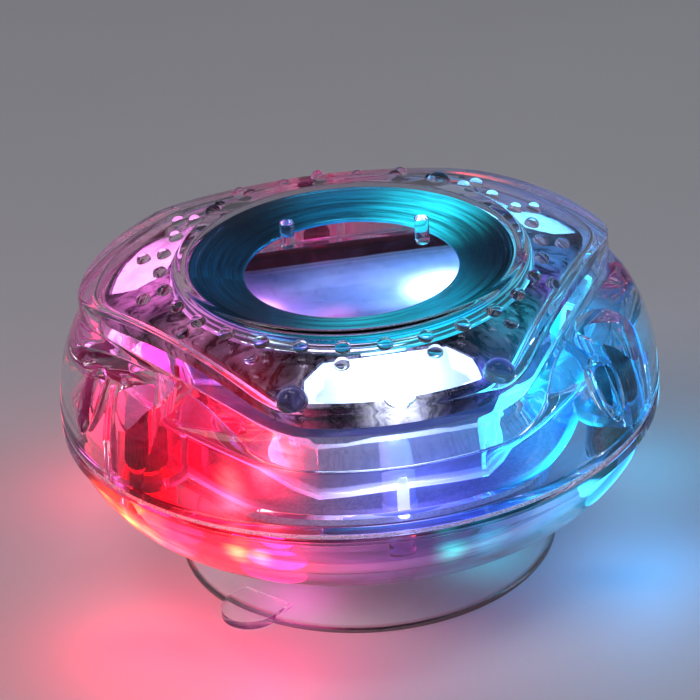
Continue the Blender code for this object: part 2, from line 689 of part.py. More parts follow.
def electronics():
    top = BOARD_TOP - BOARD_THICKNESS - 0.15
    add_object("driver_chip", *block((-2.5, -8.0, top - 1.6), (2.5, -3.0, top)), "black")
    add_object("tact_switch", *block((-3.0, BUTTON_Y - 3.0, top - 3.4), (3.0, BUTTON_Y + 3.0, top)), "black")
    recess = helper(add_object("switch_recess", *cylinder(1.9, top - 5, top - 1.4, (0, BUTTON_Y), 20), None))
    boolean(bpy.data.objects["tact_switch"], recess, "DIFFERENCE")
    for name, side, look in (("wire_red", -1, "wire_red"), ("wire_black", 1, "black")):
        x, y = WIRE_HOLE
        down = curve_path((x - 1.1, y, 6.0), (x - 1.0, y, 3.5), (x, y, 3.0), (x, y, -3.0), 6)
        across = curve_path((x, y, -4.8), (x, y, -7.0), (x - 3, y - 1, -5.6), (3.4, -5.0, -5.6), 12)
        path = [(side * p.x, p.y, p.z) for p in down + across]
        add_object(name, *tube(path, WIRE_RADIUS, 6), look)


def push_button():
    """A soft boot seals the hole in the shell, held by a clamp ring. The cap inside it presses the switch."""
    floor = BUTTON_PAD[2]
    boot = [(1.0, floor - 4.1), (2.9, floor - 4.1), (3.9, floor - 3.3), (3.9, floor + 0.3), (5.8, floor + 0.3)]
    boot += [(5.8, floor + 0.9), (3.3, floor + 0.9), (3.3, floor - 3.1), (2.6, floor - 3.4), (1.0, floor - 3.4)]
    turned("button_boot", boot, "rubber", 24, centre=(0, BUTTON_Y))
    clamp = [(3.7, floor + 1.2), (5.7, floor + 1.2), (5.7, floor + 2.2), (3.7, floor + 2.2)]
    turned("boot_clamp", clamp, "clear", 24, True, centre=(0, BUTTON_Y))
    cap = [(2.2, floor - 3.2), (BUTTON_RADIUS, floor - 2.7), (BUTTON_RADIUS, floor + 1.5)]
    cap += [(1.3, floor + 1.9), (1.3, -9.2)]
    turned("button_cap", cap, "black", 24, centre=(0, BUTTON_Y), origin=(0, BUTTON_Y, SEAM_HEIGHT - 13.0))
    plunger = [(1.6, -9.0), (1.6, -7.35)]
    turned("switch_plunger", plunger, "rubber", 20, centre=(0, BUTTON_Y), origin=(0, BUTTON_Y, SEAM_HEIGHT - 8.0))


def screws():
    for number, flat in enumerate(FLATS, 1):
        centre = at_angle(WELL_DISTANCE, flat)
        radius, tall = SCREW_HEAD
        low = WELL_FLOOR + HEAD_GAP

        def knurl(base):
            return lambda angle: base - (0.22 if round((angle - 270.0) / (180.0 / KNURLS)) % 2 else 0.0)

        outline = [(SCREW_SHANK - 0.4, SCREW_END), (SCREW_SHANK, SCREW_END + 0.6), (SCREW_SHANK, low)]
        outline += [(radius - 0.4, low), (knurl(radius), low + 0.4)]
        outline += [(knurl(radius), low + tall - 0.4), (radius - 0.4, low + tall)]
        rings = [ring(r, h, 2 * KNURLS) for r, h in outline]
        rings = [[(x + centre.x, y + centre.y, z) for x, y, z in one] for one in rings]
        screw = loft(f"screw_{number}", rings, "steel", False)
        arms = []
        top = low + tall
        for wide, deep in ((1.9, 0.45), (0.45, 1.9)):
            arms.append(block((centre.x - wide, centre.y - deep, top - 1.3), (centre.x + wide, centre.y + deep, top + 1)))
        cut = helper(add_object(f"cross_cutter_{number}", *arms[0], None))
        other = helper(add_object(f"cross_arm_{number}", *arms[1], None))
        boolean(cut, other, "UNION")
        boolean(screw, cut, "DIFFERENCE")
        sleeve = [(INSERT_BORE, -6.3), (INSERT_RADIUS, -6.3), (INSERT_RADIUS, -1.1), (INSERT_BORE, -1.1)]
        turned(f"screw_insert_{number}", sleeve, "brass", 18, True, centre=(centre.x, centre.y))


def suction_cup():
    profile = [(3.4, -16.8), (CUP_KNOB, -17.3), (CUP_KNOB, -18.5), (CUP_NECK, -19.1), (CUP_NECK, -21.2)]
    profile += [(7.0, -21.6), (14.0, -22.7), (21.0, -24.1), (27.4, -25.6), (28.2, -25.5), (CUP_RADIUS, -25.9)]
    profile += [(CUP_RADIUS, -26.5), (27.9, -26.5), (21.0, -25.2), (13.0, -24.2), (2.0, -23.8)]
    cup = turned("suction_cup", profile, "soft_clear", 48)
    frame = Matrix.Rotation(math.radians(TAB_TURN), 3, "Z")
    length, wide, thick = TAB_SIZE
    outline = []
    for step in range(13):
        angle = math.radians(-90 + 15 * step)
        outline.append((length - wide / 2 + wide / 2 * math.cos(angle), wide / 2 * math.sin(angle)))
    outline = [(0.0, -wide / 2)] + outline + [(0.0, wide / 2)]
    start = CUP_RADIUS - 4.6
    rows = [[tuple(frame @ Vector((start + x, y, z))) for x, y in outline] for z in (-26.3, -26.3 + thick)]
    boolean(cup, helper(add_object("tab_block", *skin(rows, False), None)), "UNION")
    collar = [(4.3, -20.9), (8.9, -20.9), (8.9, -19.6), (4.3, -19.6)]
    turned("cup_collar", collar, "clear", 36, True)


def build():
    for obj in list(bpy.data.objects):
        bpy.data.objects.remove(obj)
    lower_shell()
    upper_shell()
    seal_ring()
    dish()
    reflector_plate()
    window_blocks()
    light_guide()
    battery_box()
    led_board()
    electronics()
    push_button()
    screws()
    suction_cup()


build()
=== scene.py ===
"""Looks of the underwater pool light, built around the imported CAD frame.

Lengths in the tables and the shape functions are in mm, and heights are above the seam
between the two shells. Angles are in degrees round the disc's own axis. One lobe points
forwards, at 270.
"""
import math

import bmesh
import bpy
from mathutils import Matrix, Vector


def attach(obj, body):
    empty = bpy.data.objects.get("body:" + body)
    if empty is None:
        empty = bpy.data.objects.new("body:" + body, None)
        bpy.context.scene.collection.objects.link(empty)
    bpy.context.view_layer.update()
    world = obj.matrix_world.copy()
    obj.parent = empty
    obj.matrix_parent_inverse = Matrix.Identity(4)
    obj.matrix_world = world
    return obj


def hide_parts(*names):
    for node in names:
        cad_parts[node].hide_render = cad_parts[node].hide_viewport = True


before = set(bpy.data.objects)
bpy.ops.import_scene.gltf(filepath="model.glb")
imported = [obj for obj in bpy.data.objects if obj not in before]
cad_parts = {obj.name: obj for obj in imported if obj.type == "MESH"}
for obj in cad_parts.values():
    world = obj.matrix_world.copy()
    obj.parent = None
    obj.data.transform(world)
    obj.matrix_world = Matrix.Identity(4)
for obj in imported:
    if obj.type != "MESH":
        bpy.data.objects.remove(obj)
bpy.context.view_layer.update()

MM = 0.001
SEAM = 26.5                  # height of the seam above the floor
LOBES = (270.0, 30.0, 150.0)
FLATS = (90.0, 210.0, 330.0)
FINE = 288                   # steps round a turned piece

# Upper shell
BODY_RADIUS = 45.0
DOME_RISE = 26.3             # height at which the dome's curve would reach the axis
DOME_POWER = 2.42
DECK_FLAT = 33.3             # deck's edge at the flats, and next on the lobes' arcs
DECK_ARC = 40.9
DECK_INNER = 26.1
DECK_TOP = 20.9              # deck's height at its inner edge
DECK_SLOPE = 0.27
DECK_WALL = 2.1
DECK_EDGE_HEIGHT = 13.72
SHOULDER = 41.3              # where the dome turns into the step up to the deck
SHOULDER_HEIGHT = 12.8
SHOULDER_STEP = 8.0          # widest gap between the shoulder and the deck's edge
COVER_UNDER = 20.5           # underside of the middle cover
SEAM_GAP = 0.6
WALL_HEAD = (31.0, 38.3)     # lobed inner wall at the deck: radius at the flats and on the arcs
WALL_FOOT = (34.2, 38.7)     # the same wall at the seam

# Hollow between the lobed wall and the dome
LOBED_WALL = 1.8
DOME_WALL = 2.0
POCKET_TOP = 8.3             # the hollow's ceiling at the lobes
POCKET_RISE = 3.3            # how much higher it is at the flats
POCKET_LOW = -1.0

# Screw wells and the leaf-shaped hollows beside them
WELL_DISTANCE = 38.7
WELL_RADIUS = 4.7
WELL_TUBE = 6.0              # outside of the tube left standing round a well
WELL_FLOOR = 1.8
WELL_MOUTH = 16.0
SCREW_HOLE = 1.9
LEAF_TURN = -13.0            # degrees from the well
LEAF_DISTANCE = 42.7
LEAF_HEIGHT = 9.6
LEAF_SIZE = (2.7, 1.9, 5.6)
LEAF_WALL = 1.2
LEAF_TILT = 24.0

# Beads on each lobe as (distance, radius, angles from its middle), the front lobe's large
# beads, the edge beads as (angle, radius), and pins
BEAD_ROWS = (
    (28.1, 1.15, (-48, -36, -24, -12, 0, 12, 24, 36, 48, 60)),
    (31.3, 1.15, (-36, -12, 12, 36)),
    (30.9, 1.15, (60,)),
)
BEAD_LIFT = 0.05
LARGE_BEADS = (38.3, 2.25, (248.0, 270.0, 292.0))
EDGE_BEADS = ((133.0, 1.5), (49.0, 1.9))
EDGE_BEAD_DISTANCE = 26.2
EDGE_BEAD_HEIGHT = 21.2
EDGE_BEAD_SQUASH = 0.94
DISH_PINS = (122.0, 33.0)
DISH_PIN_DISTANCE = 14.5
DISH_PIN_RADIUS = 1.1
DISH_PIN_END = 16.4
PLATE_PIN_DISTANCE = 28.3
PLATE_PIN_RADIUS = 0.8
PLATE_PIN_GAP = 0.5

# Dish, reflector and the windows in it
DISH_RIM = 17.9
DISH_INNER = 15.9
PLATE_DROP = 2.8             # from the deck's top down to the reflector
PLATE_INNER = 26.7
WINDOW_ARC = 35.9            # outer edge of a window, and next its corners along and across the lobe
WINDOW_CORNERS = ((31.5, 12.5), (29.4, 12.1), (26.5, 8.7))

# Lower shell, board and button
BOWL_DEPTH = 16.2
BOWL_FLOOR = 27.4
BOWL_POWER = 1.91
BOWL_WALL = 2.2
BOARD_TOP = -3.0
POST_DISTANCE = 32.8
BUTTON_PLACE = (0.0, 29.0)

# Suction cup's pull tab
TAB_ANGLE = 222.0
TAB_DISTANCE = 24.4
TAB_LENGTH = 4.0
TAB_HALF = 4.5

# Screws
RIDGES = 24
RIDGE_DEPTH = 0.11
SCREW_RADIUS = 2.9
SCREW_LOW = 2.0
SCREW_TOP = 6.6

SHELL_IOR = 1.32
CLEAR_TINT = (0.955, 0.965, 1.0)

WHITE = (0.62, 0.8, 1.0)
CYAN = (0.02, 0.72, 0.95)
MAGENTA = (1.0, 0.1, 0.62)
RED = (1.0, 0.015, 0.07)
BLUE = (0.06, 0.28, 1.0)

# LEDs: angle, distance, radius, height, colour, slot
LED_LIGHT = {
    "led_1": (270.0, 31.7, 2.3, 8.2, WHITE, "led_white"),
    "led_2": (30.0, 31.7, 2.3, 8.2, CYAN, "led_cyan"),
    "led_3": (150.0, 31.7, 2.3, 8.2, MAGENTA, "led_magenta"),
    "led_4": (90.0, 30.9, 1.5, 4.6, MAGENTA, "led_magenta"),
    "led_5": (210.0, 30.9, 1.5, 4.6, RED, "led_red"),
    "led_6": (330.0, 30.9, 1.5, 4.6, BLUE, "led_blue"),
}
LENS_GLOW = {"led_1": 0.12, "led_2": 2.0, "led_3": 2.0, "led_4": 0.4, "led_5": 2.5, "led_6": 1.5}
LENS_WATTS = {
    "led_1": 0.00005,
    "led_2": 0.0007,
    "led_3": 0.0007,
    "led_4": 0.0002,
    "led_5": 0.001,
    "led_6": 0.0007,
}

# Light caught in the clear upper shell: wide pools first, then small hot spots.
# Each row of these tables is (angle, distance, height, colour, reach, strength).
UPPER_POOLS = (
    (228.0, 36.0, 8.0, (0.9, 0.015, 0.08), 21.0, 0.3),
    (243.0, 36.0, 6.0, RED, 9.5, 1.1),
    (205.0, 40.0, 8.0, (0.85, 0.04, 0.14), 18.0, 0.18),
    (150.0, 38.0, 8.0, (0.7, 0.08, 0.35), 24.0, 0.12),
    (272.0, 38.0, 6.0, (0.14, 0.22, 0.8), 17.0, 0.24),
    (302.0, 36.0, 8.0, (0.02, 0.4, 0.85), 20.0, 0.26),
    (335.0, 38.0, 6.0, (0.02, 0.28, 0.6), 22.0, 0.24),
    (30.0, 38.0, 8.0, (0.12, 0.2, 0.6), 26.0, 0.14),
    (90.0, 38.0, 6.0, (0.6, 0.02, 0.12), 26.0, 0.16),
    (246.0, 38.0, 9.1, (1.0, 0.12, 0.16), 5.0, 2.0),
    (241.0, 37.5, 6.0, (1.0, 0.1, 0.14), 4.5, 2.2),
    (232.0, 36.4, 2.7, (1.0, 0.12, 0.1), 5.0, 3.0),
    (237.0, 44.0, 4.0, (1.0, 0.06, 0.12), 5.0, 1.8),
    (231.0, 44.5, 3.0, RED, 6.0, 1.0),
)
# Light caught in the clear bowl
BOWL_POOLS = (
    (214.0, 40.0, -6.0, (1.0, 0.012, 0.04), 24.0, 1.1),
    (240.0, 42.0, -5.0, (1.0, 0.02, 0.06), 14.0, 0.6),
    (262.0, 42.0, -6.0, (0.45, 0.1, 0.4), 18.0, 0.14),
    (305.0, 42.0, -6.0, (0.03, 0.35, 0.6), 22.0, 0.24),
    (150.0, 42.0, -6.0, MAGENTA, 24.0, 0.12),
    (30.0, 42.0, -6.0, (0.1, 0.4, 0.9), 26.0, 0.14),
    (237.0, 43.7, -4.3, (1.0, 0.2, 0.07), 3.4, 6.0),
    (241.5, 43.7, -4.6, (1.0, 0.16, 0.1), 3.2, 5.0),
    (203.0, 43.6, -4.0, (1.0, 0.12, 0.03), 5.0, 4.5),
    (209.0, 43.1, -6.0, (1.0, 0.24, 0.05), 4.5, 6.0),
    (215.0, 42.6, -7.0, (1.0, 0.14, 0.03), 5.0, 5.0),
    (222.0, 42.0, -7.8, (1.0, 0.05, 0.04), 5.0, 3.5),
    (277.0, 43.3, -5.2, (0.02, 0.75, 0.7), 4.5, 1.4),
    (284.0, 43.3, -4.6, (0.02, 0.5, 0.7), 6.0, 0.7),
)
# Painted line of light along the foot of the lobed wall
FOOT_POOLS = (
    (308.0, 36.0, 1.0, (0.02, 0.75, 0.95), 17.0, 2.6),
    (228.0, 36.0, 1.0, (0.75, 0.25, 0.7), 16.0, 1.2),
    (268.0, 38.0, 1.0, (0.4, 0.4, 0.9), 14.0, 0.6),
)
# Painted coloured light: what it takes away from the clear plastic's colour, green and blue
# at the left, red at the right
SHELL_LIGHT_TINTS = (
    (222.0, 40.0, -2.0, (0.0, 0.92, 0.84), 42.0, 1.0),
    (150.0, 42.0, 4.0, (0.0, 0.3, 0.16), 44.0, 1.0),
    (280.0, 42.0, 2.0, (0.46, 0.5, 0.08), 32.0, 1.0),
    (264.0, 40.0, -10.0, (0.16, 0.36, 0.08), 26.0, 1.0),
    (332.0, 40.0, 2.0, (0.66, 0.34, 0.14), 44.0, 1.0),
    (35.0, 42.0, 4.0, (0.32, 0.2, 0.0), 44.0, 1.0),
    (90.0, 42.0, 4.0, (0.1, 0.4, 0.26), 38.0, 1.0),
)
# Light in the window blocks, the guide, the metal and the tray
WINDOW_POOLS = (
    (270.0, 30.5, 14.5, (0.85, 0.95, 1.0), 14.0, 1.7),
    (270.0, 30.5, 14.5, (0.28, 0.55, 0.95), 40.0, 0.6),
    (30.0, 31.5, 13.5, (0.15, 0.75, 1.0), 13.0, 1.4),
    (30.0, 31.5, 13.5, (0.1, 0.45, 1.0), 40.0, 0.6),
    (150.0, 31.5, 13.5, (1.0, 0.25, 0.8), 13.0, 1.1),
    (150.0, 31.5, 13.5, (0.9, 0.15, 0.75), 40.0, 0.6),
)
GUIDE_POOLS = (
    (270.0, 38.0, 3.0, (0.45, 0.6, 1.0), 22.0, 1.8),
    (222.0, 32.0, 3.0, (0.9, 0.16, 0.5), 26.0, 2.0),
    (316.0, 32.0, 3.0, (0.05, 0.75, 1.0), 27.0, 4.0),
    (30.0, 36.0, 3.0, (0.1, 0.8, 1.0), 30.0, 1.2),
    (150.0, 36.0, 3.0, (1.0, 0.25, 0.75), 30.0, 1.2),
    (90.0, 32.0, 3.0, (0.8, 0.05, 0.2), 26.0, 0.25),
)
DISH_POOLS = (
    (42.0, 20.0, 18.5, (0.02, 0.8, 1.0), 17.0, 1.5),
    (80.0, 20.0, 18.5, (0.0, 0.3, 0.6), 22.0, 0.4),
    (175.0, 20.0, 18.5, (0.0, 0.12, 0.34), 24.0, 0.2),
    (295.0, 20.0, 18.5, (0.0, 0.45, 0.6), 20.0, 0.35),
    (265.0, 20.0, 17.8, (0.0, 0.55, 0.65), 17.0, 0.6),
)
BEZEL_POOLS = (
    (200.0, 25.5, 18.3, (1.0, 0.3, 0.9), 26.0, 0.75),
    (290.0, 25.5, 18.3, (0.02, 0.65, 0.9), 24.0, 1.2),
    (350.0, 25.5, 18.3, (0.1, 0.8, 1.0), 26.0, 1.2),
    (100.0, 25.5, 18.3, (0.25, 0.2, 0.5), 26.0, 0.5),
)
FILM_POOLS = (
    (270.0, 36.5, 15.0, (0.8, 0.85, 1.0), 8.5, 1.6),
    (176.0, 29.0, 17.0, (1.0, 0.2, 0.75), 13.0, 0.8),
    (205.0, 27.0, 17.0, (0.95, 0.3, 0.7), 9.0, 0.55),
    (228.0, 27.0, 17.0, (0.5, 0.2, 0.5), 9.0, 0.3),
    (246.0, 35.0, 15.0, (0.25, 0.3, 0.9), 5.0, 0.5),
    (292.0, 35.0, 15.0, (0.12, 0.15, 0.95), 6.0, 0.9),
    (315.0, 28.0, 17.0, (0.02, 0.45, 0.65), 12.0, 0.6),
    (336.0, 30.0, 16.5, (0.3, 0.15, 0.9), 9.0, 0.5),
    (352.0, 29.0, 17.0, (0.1, 0.35, 0.9), 12.0, 0.6),
    (90.0, 29.0, 17.0, (0.6, 0.03, 0.1), 26.0, 0.2),
)
TRAY_POOLS = (
    (168.0, 15.5, 10.5, (1.0, 0.45, 0.9), 7.5, 4.0),
    (172.0, 16.0, 10.5, (0.7, 0.2, 0.9), 17.0, 0.7),
    (18.0, 14.5, 10.5, (0.7, 0.92, 1.0), 9.0, 5.0),
    (20.0, 15.0, 10.5, (0.25, 0.55, 1.0), 20.0, 0.9),
    (90.0, 8.0, 10.5, (0.25, 0.36, 0.85), 26.0, 0.3),
    (190.0, 3.0, 9.0, (0.9, 0.12, 0.4), 7.0, 0.4),
)
# Painted pools of LED light on the suction cup
CUP_POOLS = (
    (232.0, 24.0, -24.0, MAGENTA, 14.0, 0.16),
    (320.0, 20.0, -23.0, CYAN, 16.0, 0.14),
)

# Coloured light that the LEDs throw on the floor: angle, distance, colour, watts
FLOOR_GLOWS = (
    (212.0, 44.0, (1.0, 0.01, 0.1), 0.013),
    (240.0, 40.0, (1.0, 0.015, 0.2), 0.013),
    (328.0, 44.0, (0.02, 0.32, 0.8), 0.013),
    (8.0, 46.0, (0.02, 0.45, 0.8), 0.007),
    (150.0, 46.0, RED, 0.008),
)
FLOOR_GLOW_HEIGHT = 14.0

# Plain finishes: colour, roughness, metal, grain size, grain depth, spread of roughness
PLAIN_LOOKS = {
    "rubber": ((0.34, 0.36, 0.4), 0.55, 0.0, 1.1, 0.05, 0.06),
    "black": ((0.025, 0.025, 0.028), 0.42, 0.0, 2.0, 0.03, 0.08),
    "red wire": ((0.5, 0.02, 0.02), 0.4, 0.0, 1.6, 0.02, 0.08),
    "cell": ((0.5, 0.55, 0.62), 0.3, 0.5, 0.35, 0.02, 0.1),
    "spring": ((0.7, 0.7, 0.72), 0.22, 1.0, 1.8, 0.01, 0.1),
    "brass": ((0.72, 0.5, 0.2), 0.25, 1.0, 1.5, 0.02, 0.12),
    "steel": ((0.045, 0.043, 0.046), 0.34, 1.0, 2.2, 0.02, 0.14),
}

# Camera, in degrees and metres
CAMERA_LENS = 138.0
CAMERA_DISTANCE = 0.405
CAMERA_AZIMUTH = -8.0
CAMERA_ELEVATION = 29.0
CAMERA_TIP = (0.617, 0.152)
CAMERA_ROLL = -3.93


# Outlines

def off_axis(angle, axes):
    """Degrees between an angle and the nearest of the axes."""
    return min(abs((angle - axis + 180) % 360 - 180) for axis in axes)


def soft_min(a, b, blend):
    """The smaller of two lengths, with the change from one to the other rounded off."""
    share = min(max(0.5 + 0.5 * (b - a) / blend, 0.0), 1.0)
    return b + (a - b) * share - blend * share * (1 - share)


def lobed(flat, arc, blend=3.0):
    """Outline of three arcs joined by three flats, as a radius for each angle."""
    return lambda angle: soft_min(flat / math.cos(math.radians(off_axis(angle, FLATS))), arc, blend)


def dome_radius(height):
    """Outside of the dome at a height."""
    return BODY_RADIUS * (1 - (height / DOME_RISE) ** DOME_POWER) ** (1 / DOME_POWER) - 0.15


def deck_height(radius):
    """Top of the deck, which falls away from the axis."""
    return DECK_TOP - DECK_SLOPE * (radius - DECK_INNER)


def bowl_radius(depth):
    """Outside of the bowl at a depth below the seam."""
    share = min(depth / BOWL_DEPTH, 1.0)
    reach = BODY_RADIUS - 0.5 - BOWL_FLOOR
    return BOWL_FLOOR + reach * (1 - share ** BOWL_POWER) ** (1 / BOWL_POWER)


def at_angle(distance, angle, height=0.0):
    way = math.radians(angle)
    return Vector((distance * math.cos(way), distance * math.sin(way), height))


# Mesh making

def rounded(corners, closed, steps=4):
    """Points of a line through (radius, height, rounding) corners, each cut back by its rounding."""
    points = []
    count = len(corners)
    for index, (x, z, cut) in enumerate(corners):
        end = not closed and index in (0, count - 1)
        if end or cut <= 0:
            points.append((x, z))
            continue
        before = corners[index - 1]
        after = corners[(index + 1) % count]
        back = math.hypot(before[0] - x, before[1] - z)
        ahead = math.hypot(after[0] - x, after[1] - z)
        a = min(cut, 0.45 * back) / back
        b = min(cut, 0.45 * ahead) / ahead
        first = (x + (before[0] - x) * a, z + (before[1] - z) * a)
        last = (x + (after[0] - x) * b, z + (after[1] - z) * b)
        for step in range(steps + 1):
            t = step / steps
            points.append(tuple((1 - t) ** 2 * p + 2 * t * (1 - t) * q + t * t * r
                                for p, q, r in zip(first, (x, z), last)))
    return points


def skin(rings, closed):
    """Points and faces over rings of equal length. Closed joins the last to the first, else both get caps."""
    steps = len(rings[0])
    count = len(rings)
    points = [point for one in rings for point in one]
    faces = []
    for row in range(count if closed else count - 1):
        low = row * steps
        high = ((row + 1) % count) * steps
        for step in range(steps):
            after = (step + 1) % steps
            faces.append((low + step, low + after, high + after, high + step))
    if not closed:
        faces.append(tuple(reversed(range(steps))))
        faces.append(tuple((count - 1) * steps + step for step in range(steps)))
    return points, faces


def swept(section, closed=True, steps=FINE, centre=(0.0, 0.0), rounding=4):
    """A skin round an axis. section is a list of corners, or gives such a list for an angle."""
    columns = []
    for step in range(steps):
        angle = 270.0 + 360.0 * step / steps
        corners = section(angle) if callable(section) else section
        way = math.radians(angle)
        columns.append([(r * math.cos(way) + centre[0], r * math.sin(way) + centre[1], z)
                        for r, z in rounded(corners, closed, rounding)])
    return skin([list(ring) for ring in zip(*columns)], closed)


def merge(parts):
    """Several (points, faces) shapes as one."""
    points = []
    faces = []
    for more_points, more_faces in parts:
        start = len(points)
        points += more_points
        faces += [tuple(index + start for index in face) for face in more_faces]
    return points, faces


def cylinder(radius, low, high, centre=(0.0, 0.0), steps=48):
    return swept([(radius, low, 0), (radius, high, 0)], False, steps, centre)


def ball(centre, size, turn=None, steps=24, rows=12):
    """An ellipsoid with its three half sizes along the axes of a turned frame."""
    turn = turn or Matrix.Identity(3)
    rings = []
    for row in range(rows):
        lift = math.pi * (row + 0.5) / rows - math.pi / 2
        ring = []
        for step in range(steps):
            way = 2 * math.pi * step / steps
            local = (math.cos(lift) * math.cos(way), math.cos(lift) * math.sin(way), math.sin(lift))
            ring.append(tuple(Vector(centre) + turn @ Vector([s * c for s, c in zip(size, local)])))
        rings.append(ring)
    return skin(rings, False)


def prism(outline, low, high):
    return skin([[(x, y, z) for x, y in outline] for z in (low, high)], False)


def new_object(name, points, faces):
    """An object in metres from points in mm above the seam."""
    mesh = bpy.data.meshes.new(name)
    shape = bmesh.new()
    corners = [shape.verts.new(((x * MM, y * MM, (z + SEAM) * MM))) for x, y, z in points]
    for face in faces:
        shape.faces.new([corners[index] for index in face])
    bmesh.ops.recalc_face_normals(shape, faces=shape.faces)
    shape.to_mesh(mesh)
    shape.free()
    obj = bpy.data.objects.new(name, mesh)
    bpy.context.scene.collection.objects.link(obj)
    return obj


def combine(obj, operation, *others):
    """Adds shapes to an object, or cuts them from it, one after another, and leaves a plain mesh."""
    for points, faces in others:
        tool = new_object("tool", points, faces)
        change = obj.modifiers.new("combine", "BOOLEAN")
        change.operation = operation
        change.solver = "MANIFOLD"
        change.object = tool
        graph = bpy.context.evaluated_depsgraph_get()
        made = bpy.data.meshes.new_from_object(obj.evaluated_get(graph))
        obj.modifiers.clear()
        made.name = obj.name
        obj.data = made
        bpy.data.objects.remove(tool)


def shape_of(obj):
    """Points in mm above the seam and faces of a scratch object, which is removed."""
    points = [(x / MM, y / MM, z / MM - SEAM) for x, y, z in (v.co for v in obj.data.vertices)]
    faces = [tuple(face.vertices) for face in obj.data.polygons]
    bpy.data.objects.remove(obj)
    return points, faces


def smooth(mesh, angle=35.0):
    mesh.shade_smooth()
    mesh.set_sharp_from_angle(angle=math.radians(angle))


def piece(obj, material, body, slot, *nodes, angle=35.0, shadow=True):
    """Finishes a new piece: its shading, material, body and the CAD nodes it stands for."""
    smooth(obj.data, angle)
    obj.data.materials.clear()
    obj.data.materials.append(material)
    obj.visible_shadow = shadow
    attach(obj, body)
    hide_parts(*nodes)


def dress(node, material, shadow=True, bevel=0.0, angle=35.0):
    """Gives a CAD node its material, with its edges rounded where a width in mm is given."""
    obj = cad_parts[node]
    obj.data.materials.clear()
    obj.data.materials.append(material)
    obj.visible_shadow = shadow
    smooth(obj.data, angle)
    if bevel:
        weld = obj.modifiers.new("weld", "WELD")
        weld.merge_threshold = 1e-6
        edge = obj.modifiers.new("rounded edge", "BEVEL")
        edge.width = bevel * MM
        edge.segments = 3
        edge.limit_method = "ANGLE"
        edge.angle_limit = math.radians(angle)
        edge.harden_normals = True


# Materials

class Graph:
    """A Principled material and short ways to add the nodes that feed it."""

    def __init__(self, name, colour, rough, metal=0.0, clear=0.0, ior=1.5, **more):
        self.material = bpy.data.materials.new(name)
        self.material.use_nodes = True
        self.tree = self.material.node_tree
        self.shader = self.tree.nodes["Principled BSDF"]
        self.set("Base Color", (*colour, 1.0))
        self.set("Roughness", rough)
        self.set("Metallic", metal)
        self.set("Transmission Weight", clear)
        self.set("IOR", ior)
        for key, value in more.items():
            self.set(key.replace("_", " ").title(), value)

    def set(self, socket, value):
        self.shader.inputs[socket].default_value = value

    def join(self, value, socket):
        if isinstance(value, bpy.types.NodeSocket):
            self.tree.links.new(value, socket)
        else:
            socket.default_value = value

    def feed(self, socket, value):
        self.join(value, self.shader.inputs[socket])

    def node(self, kind, output, *inputs, **settings):
        made = self.tree.nodes.new("ShaderNode" + kind)
        for key, value in settings.items():
            setattr(made, key, value)
        for index, value in enumerate(inputs):
            if value is not None:
                self.join(value, made.inputs[index])
        return made.outputs[output]

    def place(self):
        """Position in mm, with heights above the seam."""
        raw = self.node("TexCoord", "Object")
        large = self.node("VectorMath", "Vector", raw, (1000.0, 1000.0, 1000.0), operation="MULTIPLY")
        return self.node("VectorMath", "Vector", large, (0.0, 0.0, -SEAM), operation="ADD")

    def maths(self, operation, a, b=0.0):
        return self.node("Math", "Value", a, b, operation=operation)

    def split(self, vector):
        made = self.tree.nodes.new("ShaderNodeSeparateXYZ")
        self.join(vector, made.inputs[0])
        return made.outputs[0], made.outputs[1], made.outputs[2]

    def polar(self, vector):
        """Angle in radians, distance from the axis and height."""
        x, y, z = self.split(vector)
        flat = self.node("CombineXYZ", "Vector", x, y, 0.0)
        return self.maths("ARCTAN2", y, x), self.node("VectorMath", "Value", flat, operation="LENGTH"), z

    def noise(self, vector, scale, detail=3.0, rough=0.5, warp=0.0):
        made = self.tree.nodes.new("ShaderNodeTexNoise")
        self.join(vector, made.inputs["Vector"])
        made.inputs["Scale"].default_value = scale
        made.inputs["Detail"].default_value = detail
        made.inputs["Roughness"].default_value = rough
        made.inputs["Distortion"].default_value = warp
        return made.outputs["Fac"]

    def span(self, value, low, high, to_low=0.0, to_high=1.0, shape="SMOOTHSTEP"):
        made = self.tree.nodes.new("ShaderNodeMapRange")
        made.interpolation_type = shape
        for key, number in (("From Min", low), ("From Max", high), ("To Min", to_low), ("To Max", to_high)):
            made.inputs[key].default_value = number
        self.join(value, made.inputs["Value"])
        return made.outputs["Result"]

    def mix(self, share, a, b):
        made = self.tree.nodes.new("ShaderNodeMix")
        made.data_type = "RGBA"
        self.join(share, made.inputs[0])
        for socket, value in ((made.inputs[6], a), (made.inputs[7], b)):
            self.join(value if isinstance(value, bpy.types.NodeSocket) else (*value, 1.0), socket)
        return made.outputs[2]

    def bump(self, height, depth, strength=1.0):
        made = self.tree.nodes.new("ShaderNodeBump")
        made.inputs["Strength"].default_value = strength
        made.inputs["Distance"].default_value = depth * MM
        self.join(height, made.inputs["Height"])
        self.tree.links.new(made.outputs["Normal"], self.shader.inputs["Normal"])

    def glow(self, place, sources):
        """Sum of soft coloured pools of light, from (angle, distance, height, colour, reach, strength)."""
        total = None
        for angle, distance, height, colour, reach, strength in sources:
            gap = self.node("VectorMath", "Value", place, tuple(at_angle(distance, angle, height)),
                            operation="DISTANCE")
            share = self.span(gap, 0.0, reach, 1.0, 0.0)
            tint = tuple(c * strength for c in colour)
            pool = self.node("VectorMath", "Vector", tint, operation="SCALE")
            self.join(self.maths("POWER", share, 2.0), pool.node.inputs["Scale"])
            total = pool if total is None else self.node("VectorMath", "Vector", total, pool, operation="ADD")
        return total

    def scaled(self, vector, factor):
        made = self.node("VectorMath", "Vector", vector, operation="SCALE")
        self.join(factor, made.node.inputs["Scale"])
        return made

    def light(self, vector):
        self.feed("Emission Color", vector)
        self.set("Emission Strength", 1.0)


